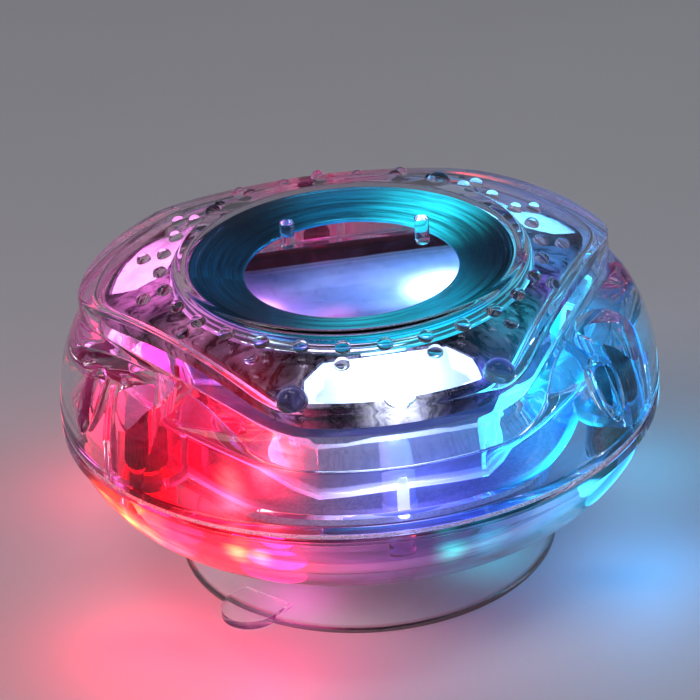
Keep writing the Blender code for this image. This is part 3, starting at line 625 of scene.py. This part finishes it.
def clear_plastic(name, colour, rough, ior=1.49, sources=(), streak=None, light_tints=(), foot=()):
    """Moulded clear plastic: fine wear in the polish, painted light in streaks inside it, and a painted
    coloured tint.
    """
    g = Graph(name, colour, rough, clear=1.0, ior=ior)
    place = g.place()
    wear = g.noise(place, 0.9, 5.0, 0.6)
    stretched = g.node("VectorMath", "Vector", place, (0.25, 3.0, 3.0), operation="MULTIPLY")
    scratch = g.noise(stretched, 1.2, 3.0)
    worn = g.maths("MULTIPLY", g.span(wear, 0.45, 0.75), g.span(scratch, 0.55, 0.7))
    g.feed("Roughness", g.span(worn, 0.0, 1.0, rough, rough + 0.14, "LINEAR"))
    g.bump(g.noise(place, 0.11, 1.0), 0.02)
    # Painted coloured light: the plastic's colour loses what the LEDs' light leaves out, so it looks lit red
    # or blue
    if light_tints:
        tint = g.node("VectorMath", "Vector", colour, g.glow(place, light_tints), operation="SUBTRACT")
        tint = g.node("VectorMath", "Vector", tint, (0.1, 0.1, 0.1), operation="MAXIMUM")
        g.feed("Base Color", tint)
    if not sources:
        return g.material
    # Painted light caught in the plastic, broken into streaks that stand in for caustics
    angle, distance, z = g.polar(place)
    across, outward, upward = streak
    along = g.node("CombineXYZ", "Vector", g.maths("MULTIPLY", angle, across),
                   g.maths("MULTIPLY", distance, outward), g.maths("MULTIPLY", z, upward))
    light_lines = g.noise(along, 1.0, 3.0, 0.55, 0.6)
    pools = g.scaled(g.glow(place, sources), g.span(light_lines, 0.36, 0.72, 0.35, 1.5))
    # Painted line of light along the foot of the lobed wall
    if foot:
        line = g.maths("MULTIPLY", g.span(z, 0.9, 1.5, 1.0, 0.0), g.span(distance, 39.2, 39.8, 1.0, 0.0))
        bright = g.scaled(g.glow(place, foot), line)
        pools = g.node("VectorMath", "Vector", pools, bright, operation="ADD")
    g.light(pools)
    return g.material


def window_look():
    """A frosted block that glows with its LED."""
    g = Graph("window block", (0.9, 0.96, 1.0), 0.12, clear=0.7, ior=1.49)
    place = g.place()
    g.light(g.glow(place, WINDOW_POOLS))
    g.bump(g.noise(place, 0.5, 3.0), 0.1)
    g.feed("Roughness", g.span(g.noise(place, 1.1, 4.0), 0.4, 0.7, 0.06, 0.22))
    return g.material


def guide_look():
    """The wall round the middle: dark, with a bright line where its lower edge lets light out."""
    g = Graph("light guide", (0.9, 0.93, 1.0), 0.04, clear=0.95, ior=1.3)
    place = g.place()
    _, _, z = g.split(place)
    edge = g.maths("ADD", g.span(z, 3.0, 3.4, 1.1, 0.0), 0.04)
    g.light(g.scaled(g.glow(place, GUIDE_POOLS), edge))
    g.feed("Roughness", g.span(g.noise(place, 0.8, 4.0), 0.4, 0.7, 0.03, 0.16))
    g.bump(g.noise(place, 0.3, 2.0), 0.08)
    return g.material


def dish_look():
    """Dark mirror with brushed rings; its broad bands of cyan and pools of cyan light are painted reflections
    of the LEDs.
    """
    g = Graph("chrome dish", (0.3, 0.75, 0.9), 0.1, metal=1.0)
    place = g.place()
    angle, distance, _ = g.polar(place)
    rings = g.node("CombineXYZ", "Vector", g.maths("MULTIPLY", angle, 1.2),
                   g.maths("MULTIPLY", distance, 6.0), 0.0)
    brushed = g.noise(rings, 1.0, 4.0, 0.6)
    # Painted reflection of the cyan LED light: the colour changes in broad bands round the dish
    broad = g.noise(g.node("CombineXYZ", "Vector", g.maths("MULTIPLY", angle, 1.1), 0.0, 0.0), 1.0, 1.0)
    g.feed("Base Color", g.mix(g.span(broad, 0.35, 0.65), (0.015, 0.15, 0.28), (0.04, 0.38, 0.58)))
    g.feed("Roughness", g.span(brushed, 0.3, 0.7, 0.08, 0.25))
    g.bump(brushed, 0.02, 0.5)
    # Painted pools of cyan LED light, broken into waves
    outward = g.node("CombineXYZ", "Vector", g.maths("MULTIPLY", distance, 1.1), angle, 0.0)
    waves = g.noise(outward, 1.0, 3.0, 0.7)
    g.light(g.scaled(g.glow(place, DISH_POOLS), g.span(waves, 0.35, 0.65, 0.35, 1.5)))
    return g.material


def bezel_look():
    """Bright turned metal with fine grooves; its pink and cyan tints and concentric lines of light are
    painted reflections of the LEDs.
    """
    g = Graph("chrome bezel", (0.72, 0.86, 0.95), 0.08, metal=1.0)
    place = g.place()
    angle, distance, z = g.polar(place)
    rings = g.node("CombineXYZ", "Vector", angle, g.maths("MULTIPLY", distance, 5.0),
                   g.maths("MULTIPLY", z, 5.0))
    g.feed("Roughness", g.span(g.noise(rings, 1.0, 3.0), 0.3, 0.7, 0.05, 0.18))
    # Painted reflection of the LEDs: pink and cyan tints in the colour
    broad = g.noise(place, 0.05, 1.0)
    g.feed("Base Color", g.mix(g.span(broad, 0.4, 0.6), (0.8, 0.62, 0.9), (0.45, 0.85, 0.95)))
    # Painted concentric lines of LED light
    light_lines = g.span(g.maths("SINE", g.maths("MULTIPLY", distance, 7.0)), -0.4, 0.8, 0.12, 1.0)
    g.light(g.scaled(g.glow(place, BEZEL_POOLS), light_lines))
    return g.material


def film_look():
    """Chrome film with dark streaks that run out from the axis, and painted pools of LED light along them."""
    g = Graph("chrome film", (0.5, 0.5, 0.55), 0.2, metal=1.0)
    place = g.place()
    angle, distance, z = g.polar(place)
    radial = g.node("CombineXYZ", "Vector", g.maths("MULTIPLY", angle, 14.0),
                    g.maths("MULTIPLY", distance, 0.25), g.maths("MULTIPLY", z, 0.25))
    streaks = g.noise(radial, 1.0, 5.0, 0.65, 0.8)
    grains = g.noise(place, 1.4, 4.0, 0.7)
    dark = g.mix(g.span(streaks, 0.35, 0.65), (0.02, 0.018, 0.025), (0.22, 0.18, 0.26))
    g.feed("Base Color", g.mix(g.span(grains, 0.6, 0.8, 0.0, 0.25), dark, (0.4, 0.38, 0.5)))
    g.feed("Roughness", g.span(streaks, 0.3, 0.7, 0.2, 0.4))
    g.bump(streaks, 0.05, 0.5)
    # Painted pools of LED light, brightest along the streaks
    g.light(g.scaled(g.glow(place, FILM_POOLS), g.span(streaks, 0.35, 0.65, 0.15, 1.4)))
    return g.material


def tray_look():
    """Blue clear plastic with painted pools of LED light. On the lid, a dark red strip lies beyond a painted
    line of light.
    """
    g = Graph("battery tray", (0.5, 0.62, 0.95), 0.08, clear=0.85, ior=1.4)
    place = g.place()
    _, y, z = g.split(place)
    strip = g.maths("MULTIPLY", g.span(y, 17.3, 17.7), g.span(z, 9.0, 9.4))
    # Painted highlight: a line of light just before the dark red strip
    edge = g.maths("MULTIPLY", g.span(y, 16.5, 17.2), g.span(y, 17.3, 17.7, 1.0, 0.0))
    soft = g.noise(place, 0.12, 2.0)
    blue = g.mix(g.span(soft, 0.4, 0.6), (0.3, 0.4, 0.8), (0.5, 0.6, 0.95))
    g.feed("Base Color", g.mix(strip, blue, (0.16, 0.01, 0.03)))
    # Painted LED light, kept almost off the strip
    bright = g.maths("ADD", edge, g.span(strip, 0.0, 1.0, 1.0, 0.03))
    g.light(g.scaled(g.glow(place, TRAY_POOLS), bright))
    g.feed("Roughness", g.span(g.noise(place, 0.5, 4.0), 0.35, 0.7, 0.04, 0.14))
    g.bump(g.noise(place, 0.16, 1.0), 0.08)
    return g.material


def board_look():
    """Solder mask with faint tracks."""
    g = Graph("solder mask", (0.3, 0.33, 0.42), 0.4, coat_weight=0.3, coat_roughness=0.2)
    place = g.place()
    flat = g.node("VectorMath", "Vector", place, (0.5, 0.5, 0.0), operation="MULTIPLY")
    cells = g.node("TexVoronoi", "Distance", flat, distance="CHEBYCHEV")
    tracks = g.span(cells, 0.42, 0.46)
    g.feed("Base Color", g.mix(tracks, (0.3, 0.33, 0.42), (0.2, 0.23, 0.33)))
    g.bump(tracks, 0.04)
    return g.material


def cup_look():
    """Soft clear vinyl, darker in its rim, with faint painted pools of magenta and cyan LED light."""
    g = Graph("vinyl cup", (0.95, 0.95, 1.0), 0.08, clear=1.0, ior=1.45)
    place = g.place()
    _, distance, _ = g.polar(place)
    rim = g.maths("MULTIPLY", g.span(distance, 28.0, 28.7), g.span(distance, 29.0, 29.2, 1.0, 0.0))
    g.feed("Base Color", g.mix(rim, (0.95, 0.95, 0.99), (0.6, 0.24, 0.28)))
    g.feed("Roughness", g.span(g.noise(place, 0.4, 4.0), 0.35, 0.7, 0.04, 0.2))
    g.bump(g.noise(place, 0.12, 2.0), 0.3)
    # Painted pools of magenta and cyan LED light
    g.light(g.glow(place, CUP_POOLS))
    return g.material


def seal_look():
    """Soft clear ring."""
    g = Graph("clear seal", (0.95, 0.9, 0.98), 0.25, clear=0.85, ior=1.35)
    place = g.place()
    g.bump(g.noise(place, 0.9, 3.0), 0.03)
    g.feed("Roughness", g.span(g.noise(place, 0.7, 3.0), 0.3, 0.7, 0.2, 0.4))
    return g.material


def plain_look(name):
    """A plain finish with a fine grain in its colour, gloss and surface."""
    colour, rough, metal, scale, depth, spread = PLAIN_LOOKS[name]
    g = Graph(name, colour, rough, metal=metal)
    place = g.place()
    grain = g.noise(place, scale, 5.0, 0.6)
    darker = tuple(c * 0.7 for c in colour)
    g.feed("Base Color", g.mix(g.span(grain, 0.35, 0.65), darker, colour))
    g.feed("Roughness", g.span(grain, 0.3, 0.7, rough - spread / 2, rough + spread))
    g.bump(grain, depth)
    return g.material


def lens_look(name):
    """An LED's lens, lit from inside."""
    angle, distance, _, tall, colour, _ = LED_LIGHT[name]
    g = Graph(f"{name} lens", colour, 0.12, clear=0.4, ior=1.53)
    place = g.place()
    middle = BOARD_TOP + tall * 0.6
    g.light(g.glow(place, [(angle, distance, middle, colour, tall, LENS_GLOW[name])]))
    g.feed("Roughness", g.span(g.noise(place, 1.5, 3.0), 0.3, 0.7, 0.05, 0.2))
    return g.material


def make_materials():
    made = {
        "upper": clear_plastic("clear upper shell", CLEAR_TINT, 0.012, SHELL_IOR, UPPER_POOLS,
                               (3.2, 0.1, 0.5), SHELL_LIGHT_TINTS, FOOT_POOLS),
        "lower": clear_plastic("clear lower shell", CLEAR_TINT, 0.015, SHELL_IOR, BOWL_POOLS,
                               (4.0, 0.15, 0.7), SHELL_LIGHT_TINTS),
        "collar": clear_plastic("clear rings", (0.93, 0.95, 1.0), 0.05),
        "window": window_look(),
        "guide": guide_look(),
        "dish": dish_look(),
        "bezel": bezel_look(),
        "film": film_look(),
        "tray": tray_look(),
        "board": board_look(),
        "cup": cup_look(),
        "seal": seal_look(),
    }
    for name in PLAIN_LOOKS:
        made[name] = plain_look(name)
    for name in LED_LIGHT:
        made[name] = lens_look(name)
    return made


# Pieces

def open_middle(points, faces):
    """Replaces the walls of the thin bore round the axis with two flat caps."""
    rows = len(points) // FINE
    bore = next(row for row in range(rows - 1)
                if all(abs(math.hypot(*points[(row + k) * FINE][:2]) - 1.0) < 1e-6 for k in (0, 1)))
    top = range(bore * FINE, (bore + 1) * FINE)
    under = range((bore + 1) * FINE, (bore + 2) * FINE)
    wall = set(top) | set(under)
    faces = [face for face in faces if not set(face) <= wall]
    return faces + [tuple(top), tuple(reversed(under))]


def upper_section(angle):
    """The upper shell's outline at an angle: dome, step up, deck, cover, and back along the inside."""
    edge = lobed(DECK_FLAT, DECK_ARC)(angle)
    head = lobed(*WALL_HEAD)(angle)
    foot = lobed(*WALL_FOOT)(angle)
    wide = (SHOULDER - edge) / SHOULDER_STEP
    corners = [(BODY_RADIUS, SEAM_GAP, 0.15), (BODY_RADIUS, 1.7, 0.15), (dome_radius(2.0), 2.0, 0.1)]
    corners += [(dome_radius(2.5 + 0.8 * row), 2.5 + 0.8 * row, 0) for row in range(13)]
    for share in (0.0, 0.12, 0.24, 0.36, 0.48, 0.6, 0.72, 0.84):
        rise = SHOULDER_HEIGHT + 0.9 * share + wide * math.sin(math.pi * share)
        corners.append((SHOULDER + (edge - SHOULDER) * share, rise, 0))
    corners.append((edge + 0.02, DECK_EDGE_HEIGHT, 0.3))
    corners.append((edge, deck_height(edge - 0.5), 0.4))
    outer = edge - 1.5
    for share in (0.2, 0.4, 0.6, 0.8):
        r = outer + (26.7 - outer) * share
        corners.append((r, deck_height(r), 0))
    corners += [(26.35, deck_height(26.35), 0.35), (25.75, 22.05, 0.45), (23.5, 22.12, 0)]
    corners += [(14.0, 22.31, 0), (6.0, 22.38, 0), (1.0, 22.4, 0)]
    corners += [(1.0, COVER_UNDER, 0), (14.0, COVER_UNDER, 0), (24.5, COVER_UNDER, 0.5)]
    corners.append((24.8, deck_height(24.8) - DECK_WALL, 0.4))
    roof = deck_height(head) - DECK_WALL
    corners.append((head, roof, 0.9))
    for share in (0.3, 0.6):
        corners.append((head + (foot - head) * share, roof + (SEAM_GAP - roof) * share, 0))
    corners.append((foot, SEAM_GAP, 0.2))
    return corners


def pocket_section(angle):
    """The hollow's outline at an angle, open below."""
    head = lobed(*WALL_HEAD)(angle)
    foot = lobed(*WALL_FOOT)(angle)
    ceiling = POCKET_TOP + POCKET_RISE * (SHOULDER - lobed(DECK_FLAT, DECK_ARC)(angle)) / SHOULDER_STEP
    roof = deck_height(head) - DECK_WALL - 0.8

    def near(z):
        return foot + (head - foot) * (z - SEAM_GAP) / (roof - SEAM_GAP) + LOBED_WALL

    far = dome_radius(ceiling) - DOME_WALL
    return [(near(SEAM_GAP), POCKET_LOW, 0), (near(ceiling), ceiling, 0.7), (far, ceiling, 0.7),
            (dome_radius(4.5) - DOME_WALL, 4.5, 1.5), (BODY_RADIUS - DOME_WALL, POCKET_LOW, 0)]


def beads_and_pins():
    """Everything moulded onto the shell: beads on the deck, and pins over the dish and the reflector."""
    made = []
    for lobe in LOBES:
        for distance, radius, angles in BEAD_ROWS:
            for angle in angles:
                centre = at_angle(distance, lobe + angle, deck_height(distance) + BEAD_LIFT)
                made.append(ball(centre, (radius,) * 3))
    distance, radius, angles = LARGE_BEADS
    for angle in angles:
        centre = at_angle(distance, angle, deck_height(distance) + BEAD_LIFT)
        made.append(ball(centre, (radius,) * 3, None, 40, 20))
    for angle, radius in EDGE_BEADS:
        centre = at_angle(EDGE_BEAD_DISTANCE, angle, EDGE_BEAD_HEIGHT)
        made.append(ball(centre, (radius, radius, EDGE_BEAD_SQUASH * radius), None, 32, 16))
    pin = [(0.3, DISH_PIN_END, 0), (DISH_PIN_RADIUS, DISH_PIN_END, 0.6)]
    pin.append((DISH_PIN_RADIUS, COVER_UNDER + 0.4, 0))
    for angle in DISH_PINS:
        made.append(swept(pin, False, 32, at_angle(DISH_PIN_DISTANCE, angle)[:2]))
    low = deck_height(PLATE_PIN_DISTANCE) - PLATE_DROP + PLATE_PIN_GAP
    high = deck_height(PLATE_PIN_DISTANCE) - DECK_WALL + 0.8
    for flat in FLATS:
        made.append(cylinder(PLATE_PIN_RADIUS, low, high, at_angle(PLATE_PIN_DISTANCE, flat)[:2], 24))
    return merge(made)


def upper_shell(looks):
    points, faces = swept(upper_section)
    shell = new_object("clear_upper_shell", points, open_middle(points, faces))
    wells = []
    holes = []
    leaves = []
    tubes = []
    backs = []
    for flat in FLATS:
        centre = at_angle(WELL_DISTANCE, flat)[:2]
        wells.append(cylinder(WELL_RADIUS, WELL_FLOOR, WELL_MOUTH, centre, 64))
        holes.append(cylinder(SCREW_HOLE, -2.0, 3.0, centre, 32))
        tubes.append(cylinder(WELL_TUBE, -2.0, WELL_MOUTH, centre, 64))
        turn = flat + LEAF_TURN
        tilt = (Matrix.Rotation(math.radians(turn - 90), 3, "Z")
                @ Matrix.Rotation(math.radians(LEAF_TILT), 3, "X"))
        for made, more in ((leaves, 0.0), (backs, LEAF_WALL)):
            size = tuple(half + more for half in LEAF_SIZE)
            made.append(ball(at_angle(LEAF_DISTANCE, turn, LEAF_HEIGHT), size, tilt, 40, 28))
    pocket = new_object("pocket", *swept(pocket_section))
    combine(pocket, "DIFFERENCE", merge(tubes), merge(backs))
    combine(shell, "DIFFERENCE", shape_of(pocket), merge(wells), merge(holes), merge(leaves))
    combine(shell, "UNION", beads_and_pins())
    piece(shell, looks["upper"], "disc", "clear_shell", "upper_shell", shadow=False)


def lower_shell(looks):
    floor = -BOWL_DEPTH + BOWL_WALL
    corners = [(1.0, floor, 0), (BOWL_FLOOR - 0.5, floor, 0)]
    for step in range(14, 2, -1):
        depth = 1.02 * step - 0.5
        outside = bowl_radius(depth * BOWL_DEPTH / (BOWL_DEPTH - BOWL_WALL))
        corners.append((outside - BOWL_WALL, -depth, 0))
    corners += [(42.6, -2.2, 0.2), (42.6, -SEAM_GAP, 0.15)]
    corners += [(BODY_RADIUS, -SEAM_GAP, 0.15), (BODY_RADIUS, -2.2, 0.15)]
    corners += [(bowl_radius(2.6 + 0.96 * step), -2.6 - 0.96 * step, 0) for step in range(14)]
    corners += [(bowl_radius(15.8), -15.8, 0), (bowl_radius(16.1), -16.1, 0), (25.9, -16.2, 0)]
    corners += [(9.0, -16.2, 0.4), (9.0, -19.4, 0.3), (6.0, -19.4, 0.3), (6.0, -16.4, 0), (1.0, -16.4, 0)]
    shell = new_object("clear_lower_shell", *swept(corners, False))
    posts = [cylinder(3.5, -7.6, -0.75, at_angle(WELL_DISTANCE, flat)[:2]) for flat in FLATS]
    posts.append(cylinder(6.8, -16.7, -13.7, BUTTON_PLACE, 64))
    posts += [cylinder(1.9, -13.6, -4.6, at_angle(POST_DISTANCE, lobe)[:2], 32) for lobe in LOBES]
    combine(shell, "UNION", merge(posts))
    bores = [cylinder(2.7, -6.6, 0.0, at_angle(WELL_DISTANCE, flat)[:2]) for flat in FLATS]
    bores.append(cylinder(6.1, -14.1, -9.0, BUTTON_PLACE, 64))
    combine(shell, "DIFFERENCE", merge(bores), cylinder(4.2, -17.7, -13.0, BUTTON_PLACE))
    piece(shell, looks["lower"], "disc", "clear_shell", "lower_shell", shadow=False)


def trim(looks):
    """The turned pieces: seal, dish, bezel, collar and the button's rings."""
    seal = [(42.8, -0.3, 0.1), (42.8, 0.3, 0.1), (44.6, 0.3, 0.15), (44.9, 0.0, 0.1), (44.6, -0.3, 0.15)]
    ring = new_object("soft_seal", *swept(seal))
    piece(ring, looks["seal"], "disc", "silicone", "seal_ring", shadow=False)

    dish = [(DISH_INNER, DISH_RIM - 0.6, 0.2), (DISH_INNER, DISH_RIM, 0.25)]
    dish += [(DISH_INNER + 1.0 + 0.85 * k, DISH_RIM + 1.75 * ((k + 1) / 8) ** 0.85, 0) for k in range(7)]
    dish += [(22.7, 19.7, 0.1), (23.0, 19.56, 0.1), (23.5, 19.6, 0.1), (23.7, 19.8, 0.1)]
    dish += [(24.0, 19.82, 0.1), (24.0, 19.2, 0.2), (20.0, 18.1, 0)]
    ring = new_object("mirror_ring", *swept(dish))
    piece(ring, looks["dish"], "disc", "chrome_dish", "mirror_dish")

    bezel = [(23.2, 17.5, 0.1), (23.2, 18.65, 0.2), (24.5, 18.65, 0.2), (24.9, 18.5, 0.1)]
    bezel += [(25.2, 18.2, 0.1), (25.6, 18.25, 0.1), (26.3, 17.95, 0.2), (26.3, 17.3, 0.1)]
    ring = new_object("bright_bezel", *swept(bezel))
    piece(ring, looks["bezel"], "disc", "chrome_dish", "dish_bezel")

    collar = [(4.3, -20.9, 0.3), (8.9, -20.9, 0.4), (8.9, -19.6, 0.3), (4.3, -19.6, 0.3)]
    ring = new_object("clear_collar", *swept(collar, steps=96))
    piece(ring, looks["collar"], "disc", "clear_shell", "cup_collar", shadow=False)

    clamp = [(3.7, -12.9, 0.2), (5.7, -12.9, 0.2), (5.7, -11.9, 0.2), (3.7, -11.9, 0.2)]
    ring = new_object("clamp_ring", *swept(clamp, steps=96, centre=BUTTON_PLACE))
    piece(ring, looks["collar"], "disc", "clear_shell", "boot_clamp", shadow=False)


def reflector(looks):
    """The streaked cone under the deck, with a turned-down rim and a window in each lobe."""
    edge = lobed(WALL_HEAD[0] - 1.3, WALL_HEAD[1] - 1.5)

    def cone(r, more=0.0):
        return deck_height(r) - PLATE_DROP - more

    def section(angle):
        rim = edge(angle)
        half = (PLATE_INNER + rim) / 2
        return [(PLATE_INNER, cone(PLATE_INNER), 0.15), (half, cone(half), 0), (rim, cone(rim), 0.5),
                (rim, cone(rim, 2.2), 0.2), (rim - 1.0, cone(rim, 2.2), 0.2),
                (rim - 1.0, cone(rim - 1.0, 1.1), 0.3), (PLATE_INNER, cone(PLATE_INNER, 1.1), 0.15)]

    plate = new_object("streaked_reflector", *swept(section))
    cuts = []
    reach = math.degrees(math.asin((WINDOW_CORNERS[0][1] + 0.1) / WINDOW_ARC))
    outline = [tuple(at_angle(WINDOW_ARC, reach * step / 12.0)[:2]) for step in range(-12, 13)]
    outline += list(WINDOW_CORNERS) + [(x, -y) for x, y in reversed(WINDOW_CORNERS)]
    for lobe in LOBES:
        turn = Matrix.Rotation(math.radians(lobe), 2)
        cuts.append(prism([tuple(turn @ Vector(corner)) for corner in outline], 8.0, 22.0))
    combine(plate, "DIFFERENCE", merge(cuts))
    piece(plate, looks["film"], "disc", "chrome_film", "reflector_plate")


def suction_cup(looks):
    corners = [(3.4, -16.8, 0), (5.5, -17.3, 0.5), (5.5, -18.5, 0.4), (3.9, -19.1, 0.4)]
    corners += [(3.9, -21.2, 0.5), (7.0, -21.6, 0.8), (14.0, -22.7, 2.0), (21.0, -24.1, 2.0)]
    corners += [(27.4, -25.6, 0.3), (28.2, -25.5, 0.25), (29.0, -25.9, 0.25), (29.0, -26.5, 0.15)]
    corners += [(27.9, -26.5, 0.2), (21.0, -25.2, 2.0), (13.0, -24.2, 2.0), (2.0, -23.8, 0)]
    cup = new_object("clear_suction_cup", *swept(corners, False, 192))
    turn = Matrix.Rotation(math.radians(TAB_ANGLE), 2)
    outline = [(0.0, -TAB_HALF)]
    for step in range(25):
        way = math.radians(-90 + 7.5 * step)
        outline.append((TAB_LENGTH + TAB_HALF * math.cos(way), TAB_HALF * math.sin(way)))
    outline.append((0.0, TAB_HALF))
    outline = [tuple(turn @ Vector((TAB_DISTANCE + x, y))) for x, y in outline]
    combine(cup, "UNION", prism(outline, -26.3, -25.0))
    piece(cup, looks["cup"], "cup", "clear_vinyl", "suction_cup", shadow=False)


def screws(looks):
    """Cap screws with a fine knurl round the head and a cross in its top."""

    def section(angle):
        ridge = SCREW_RADIUS - RIDGE_DEPTH + RIDGE_DEPTH * math.cos(math.radians(angle * RIDGES))
        return [(1.15, -6.0, 0), (1.55, -5.4, 0.1), (1.55, SCREW_LOW, 0.1), (2.45, SCREW_LOW, 0.2),
                (ridge, SCREW_LOW + 0.45, 0.1), (ridge, SCREW_TOP - 0.6, 0.1), (2.5, SCREW_TOP - 0.05, 0.25),
                (1.9, SCREW_TOP, 0.1), (0.5, SCREW_TOP, 0)]

    for number, flat in enumerate(FLATS, 1):
        centre = at_angle(WELL_DISTANCE, flat)[:2]
        screw = new_object(f"knurled_screw_{number}", *swept(section, False, RIDGES * 8, centre, 2))
        arms = []
        for wide, deep in ((1.9, 0.4), (0.4, 1.9)):
            outline = [(centre[0] + side * wide, centre[1] + end * deep)
                       for side, end in ((-1, -1), (1, -1), (1, 1), (-1, 1))]
            arms.append(prism(outline, SCREW_TOP - 1.3, SCREW_TOP + 1.0))
        combine(screw, "DIFFERENCE", *arms)
        piece(screw, looks["steel"], "disc", "dark_steel", f"screw_{number}", angle=30.0)


def lamps_on_board(looks):
    for name, (angle, distance, radius, tall, _, slot) in LED_LIGHT.items():
        base = BOARD_TOP + 0.15
        straight = base + tall - radius
        corners = [(radius + 0.2, base, 0), (radius + 0.2, base + 0.7, 0.1), (radius, base + 0.95, 0.1)]
        corners += [(radius * math.cos(math.radians(a)), straight + radius * math.sin(math.radians(a)), 0)
                    for a in range(0, 73, 9)]
        lens = new_object(f"lens_{name[-1]}", *swept(corners, False, 64, at_angle(distance, angle)[:2]))
        piece(lens, looks[name], "disc", slot, name, angle=50.0, shadow=False)


def dress_nodes(looks):
    for number in (1, 2, 3):
        dress(f"window_block_{number}", looks["window"], False, 0.35)
        dress(f"cell_{number}", looks["cell"])
        dress(f"spring_contact_{number}", looks["spring"])
        dress(f"contact_plate_{number}", looks["spring"], bevel=0.08)
        dress(f"screw_insert_{number}", looks["brass"])
    dress("light_guide", looks["guide"], False, 0.2)
    dress("battery_box", looks["tray"], False, 0.25)
    dress("battery_lid", looks["tray"], False)
    dress("led_board", looks["board"], bevel=0.1)
    dress("driver_chip", looks["black"], bevel=0.15)
    dress("tact_switch", looks["black"], bevel=0.15)
    dress("wire_red", looks["red wire"])
    dress("wire_black", looks["black"])
    dress("button_boot", looks["rubber"])
    dress("button_cap", looks["black"], bevel=0.2)
    dress("switch_plunger", looks["rubber"], bevel=0.1)


# Stage

def make_floor():
    bpy.ops.mesh.primitive_plane_add(size=6.0, location=(0, 0, 0))
    floor = bpy.context.active_object
    floor.name = "floor"
    g = Graph("pale floor", (0.72, 0.71, 0.74), 0.55)
    raw = g.node("TexCoord", "Object")
    grain = g.noise(raw, 6.0, 3.0)
    g.feed("Base Color", g.mix(g.span(grain, 0.3, 0.7), (0.7, 0.69, 0.72), (0.74, 0.73, 0.76)))
    floor.data.materials.append(g.material)


def lamp(name, kind, place, power, colour, size, target=None):
    data = bpy.data.lights.new(name, kind)
    data.energy = power
    data.color = colour
    if kind == "AREA":
        data.shape = "RECTANGLE"
        data.size, data.size_y = size
    else:
        data.shadow_soft_size = size
    obj = bpy.data.objects.new(name, data)
    obj.location = place
    if target is not None:
        obj.rotation_mode = "QUATERNION"
        obj.rotation_quaternion = (Vector(target) - Vector(place)).to_track_quat("-Z", "Y")
    bpy.context.scene.collection.objects.link(obj)


def make_lights():
    world = bpy.data.worlds.new("studio")
    world.use_nodes = True
    bpy.context.scene.world = world
    nodes = world.node_tree.nodes
    links = world.node_tree.links
    background = nodes["Background"]
    where = nodes.new("ShaderNodeTexCoord")
    height = nodes.new("ShaderNodeSeparateXYZ")
    fade = nodes.new("ShaderNodeValToRGB")
    links.new(where.outputs["Generated"], height.inputs[0])
    links.new(height.outputs["Z"], fade.inputs["Fac"])
    links.new(fade.outputs["Color"], background.inputs["Color"])
    fade.color_ramp.elements[0].color = (0.12, 0.117, 0.13, 1.0)
    fade.color_ramp.elements[0].position = 0.0
    fade.color_ramp.elements[1].color = (0.035, 0.035, 0.05, 1.0)
    fade.color_ramp.elements[1].position = 0.45
    background.inputs["Strength"].default_value = 1.0

    middle = (0.0, 0.0, 0.03)
    lamp("key softbox", "AREA", (-0.5, -0.1, 0.6), 1.3, (1.0, 0.97, 0.95), (0.3, 0.3), middle)
    lamp("back softbox", "AREA", (0.05, 0.12, 0.85), 0.8, (0.9, 0.95, 1.0), (0.5, 0.12), middle)
    lamp("side softbox", "AREA", (0.6, -0.05, 0.28), 0.5, (0.92, 0.95, 1.0), (0.14, 0.4), middle)
    for name, (angle, distance, _, tall, colour, _) in LED_LIGHT.items():
        place = at_angle(distance, angle, BOARD_TOP + tall * 0.55 + SEAM) * MM
        lamp(f"{name} light", "POINT", place, LENS_WATTS[name], colour, 0.0025)
    for angle, distance, colour, power in FLOOR_GLOWS:
        place = at_angle(distance, angle, FLOOR_GLOW_HEIGHT) * MM
        lamp(f"floor glow {angle:.0f}", "POINT", place, power, colour, 0.008)


def make_camera():
    """The camera looks down from the front, a little to the left, with a slight roll."""
    data = bpy.data.cameras.new("camera")
    data.lens = CAMERA_LENS
    data.sensor_width = 36.0
    camera = bpy.data.objects.new("camera", data)
    bpy.context.scene.collection.objects.link(camera)
    bpy.context.scene.camera = camera
    way = math.radians(CAMERA_AZIMUTH)
    lift = math.radians(CAMERA_ELEVATION)
    back = Vector((math.sin(way) * math.cos(lift), -math.cos(way) * math.cos(lift), math.sin(lift)))
    camera.location = Vector((0.0, 0.0, SEAM * MM)) + back * CAMERA_DISTANCE
    aim = (-back).to_track_quat("-Z", "Y").to_matrix()
    across, upright = (math.radians(angle) for angle in CAMERA_TIP)
    tip = Matrix.Rotation(across, 3, "X") @ Matrix.Rotation(upright, 3, "Y")
    roll = Matrix.Rotation(math.radians(CAMERA_ROLL), 3, "Z")
    camera.rotation_mode = "QUATERNION"
    camera.rotation_quaternion = (aim @ tip @ roll).to_quaternion()
    data.clip_start = 0.01
    data.clip_end = 20.0


def light_paths():
    """Light has to get through many clear walls."""
    scene = bpy.context.scene
    scene.view_settings.view_transform = "Standard"
    scene.cycles.max_bounces = 28
    scene.cycles.transmission_bounces = 28
    scene.cycles.glossy_bounces = 8
    scene.cycles.transparent_max_bounces = 24
    scene.cycles.sample_clamp_indirect = 6.0
    scene.cycles.use_denoising = True


make_camera()
looks = make_materials()
upper_shell(looks)
lower_shell(looks)
trim(looks)
reflector(looks)
suction_cup(looks)
screws(looks)
lamps_on_board(looks)
dress_nodes(looks)
make_floor()
make_lights()
light_paths()
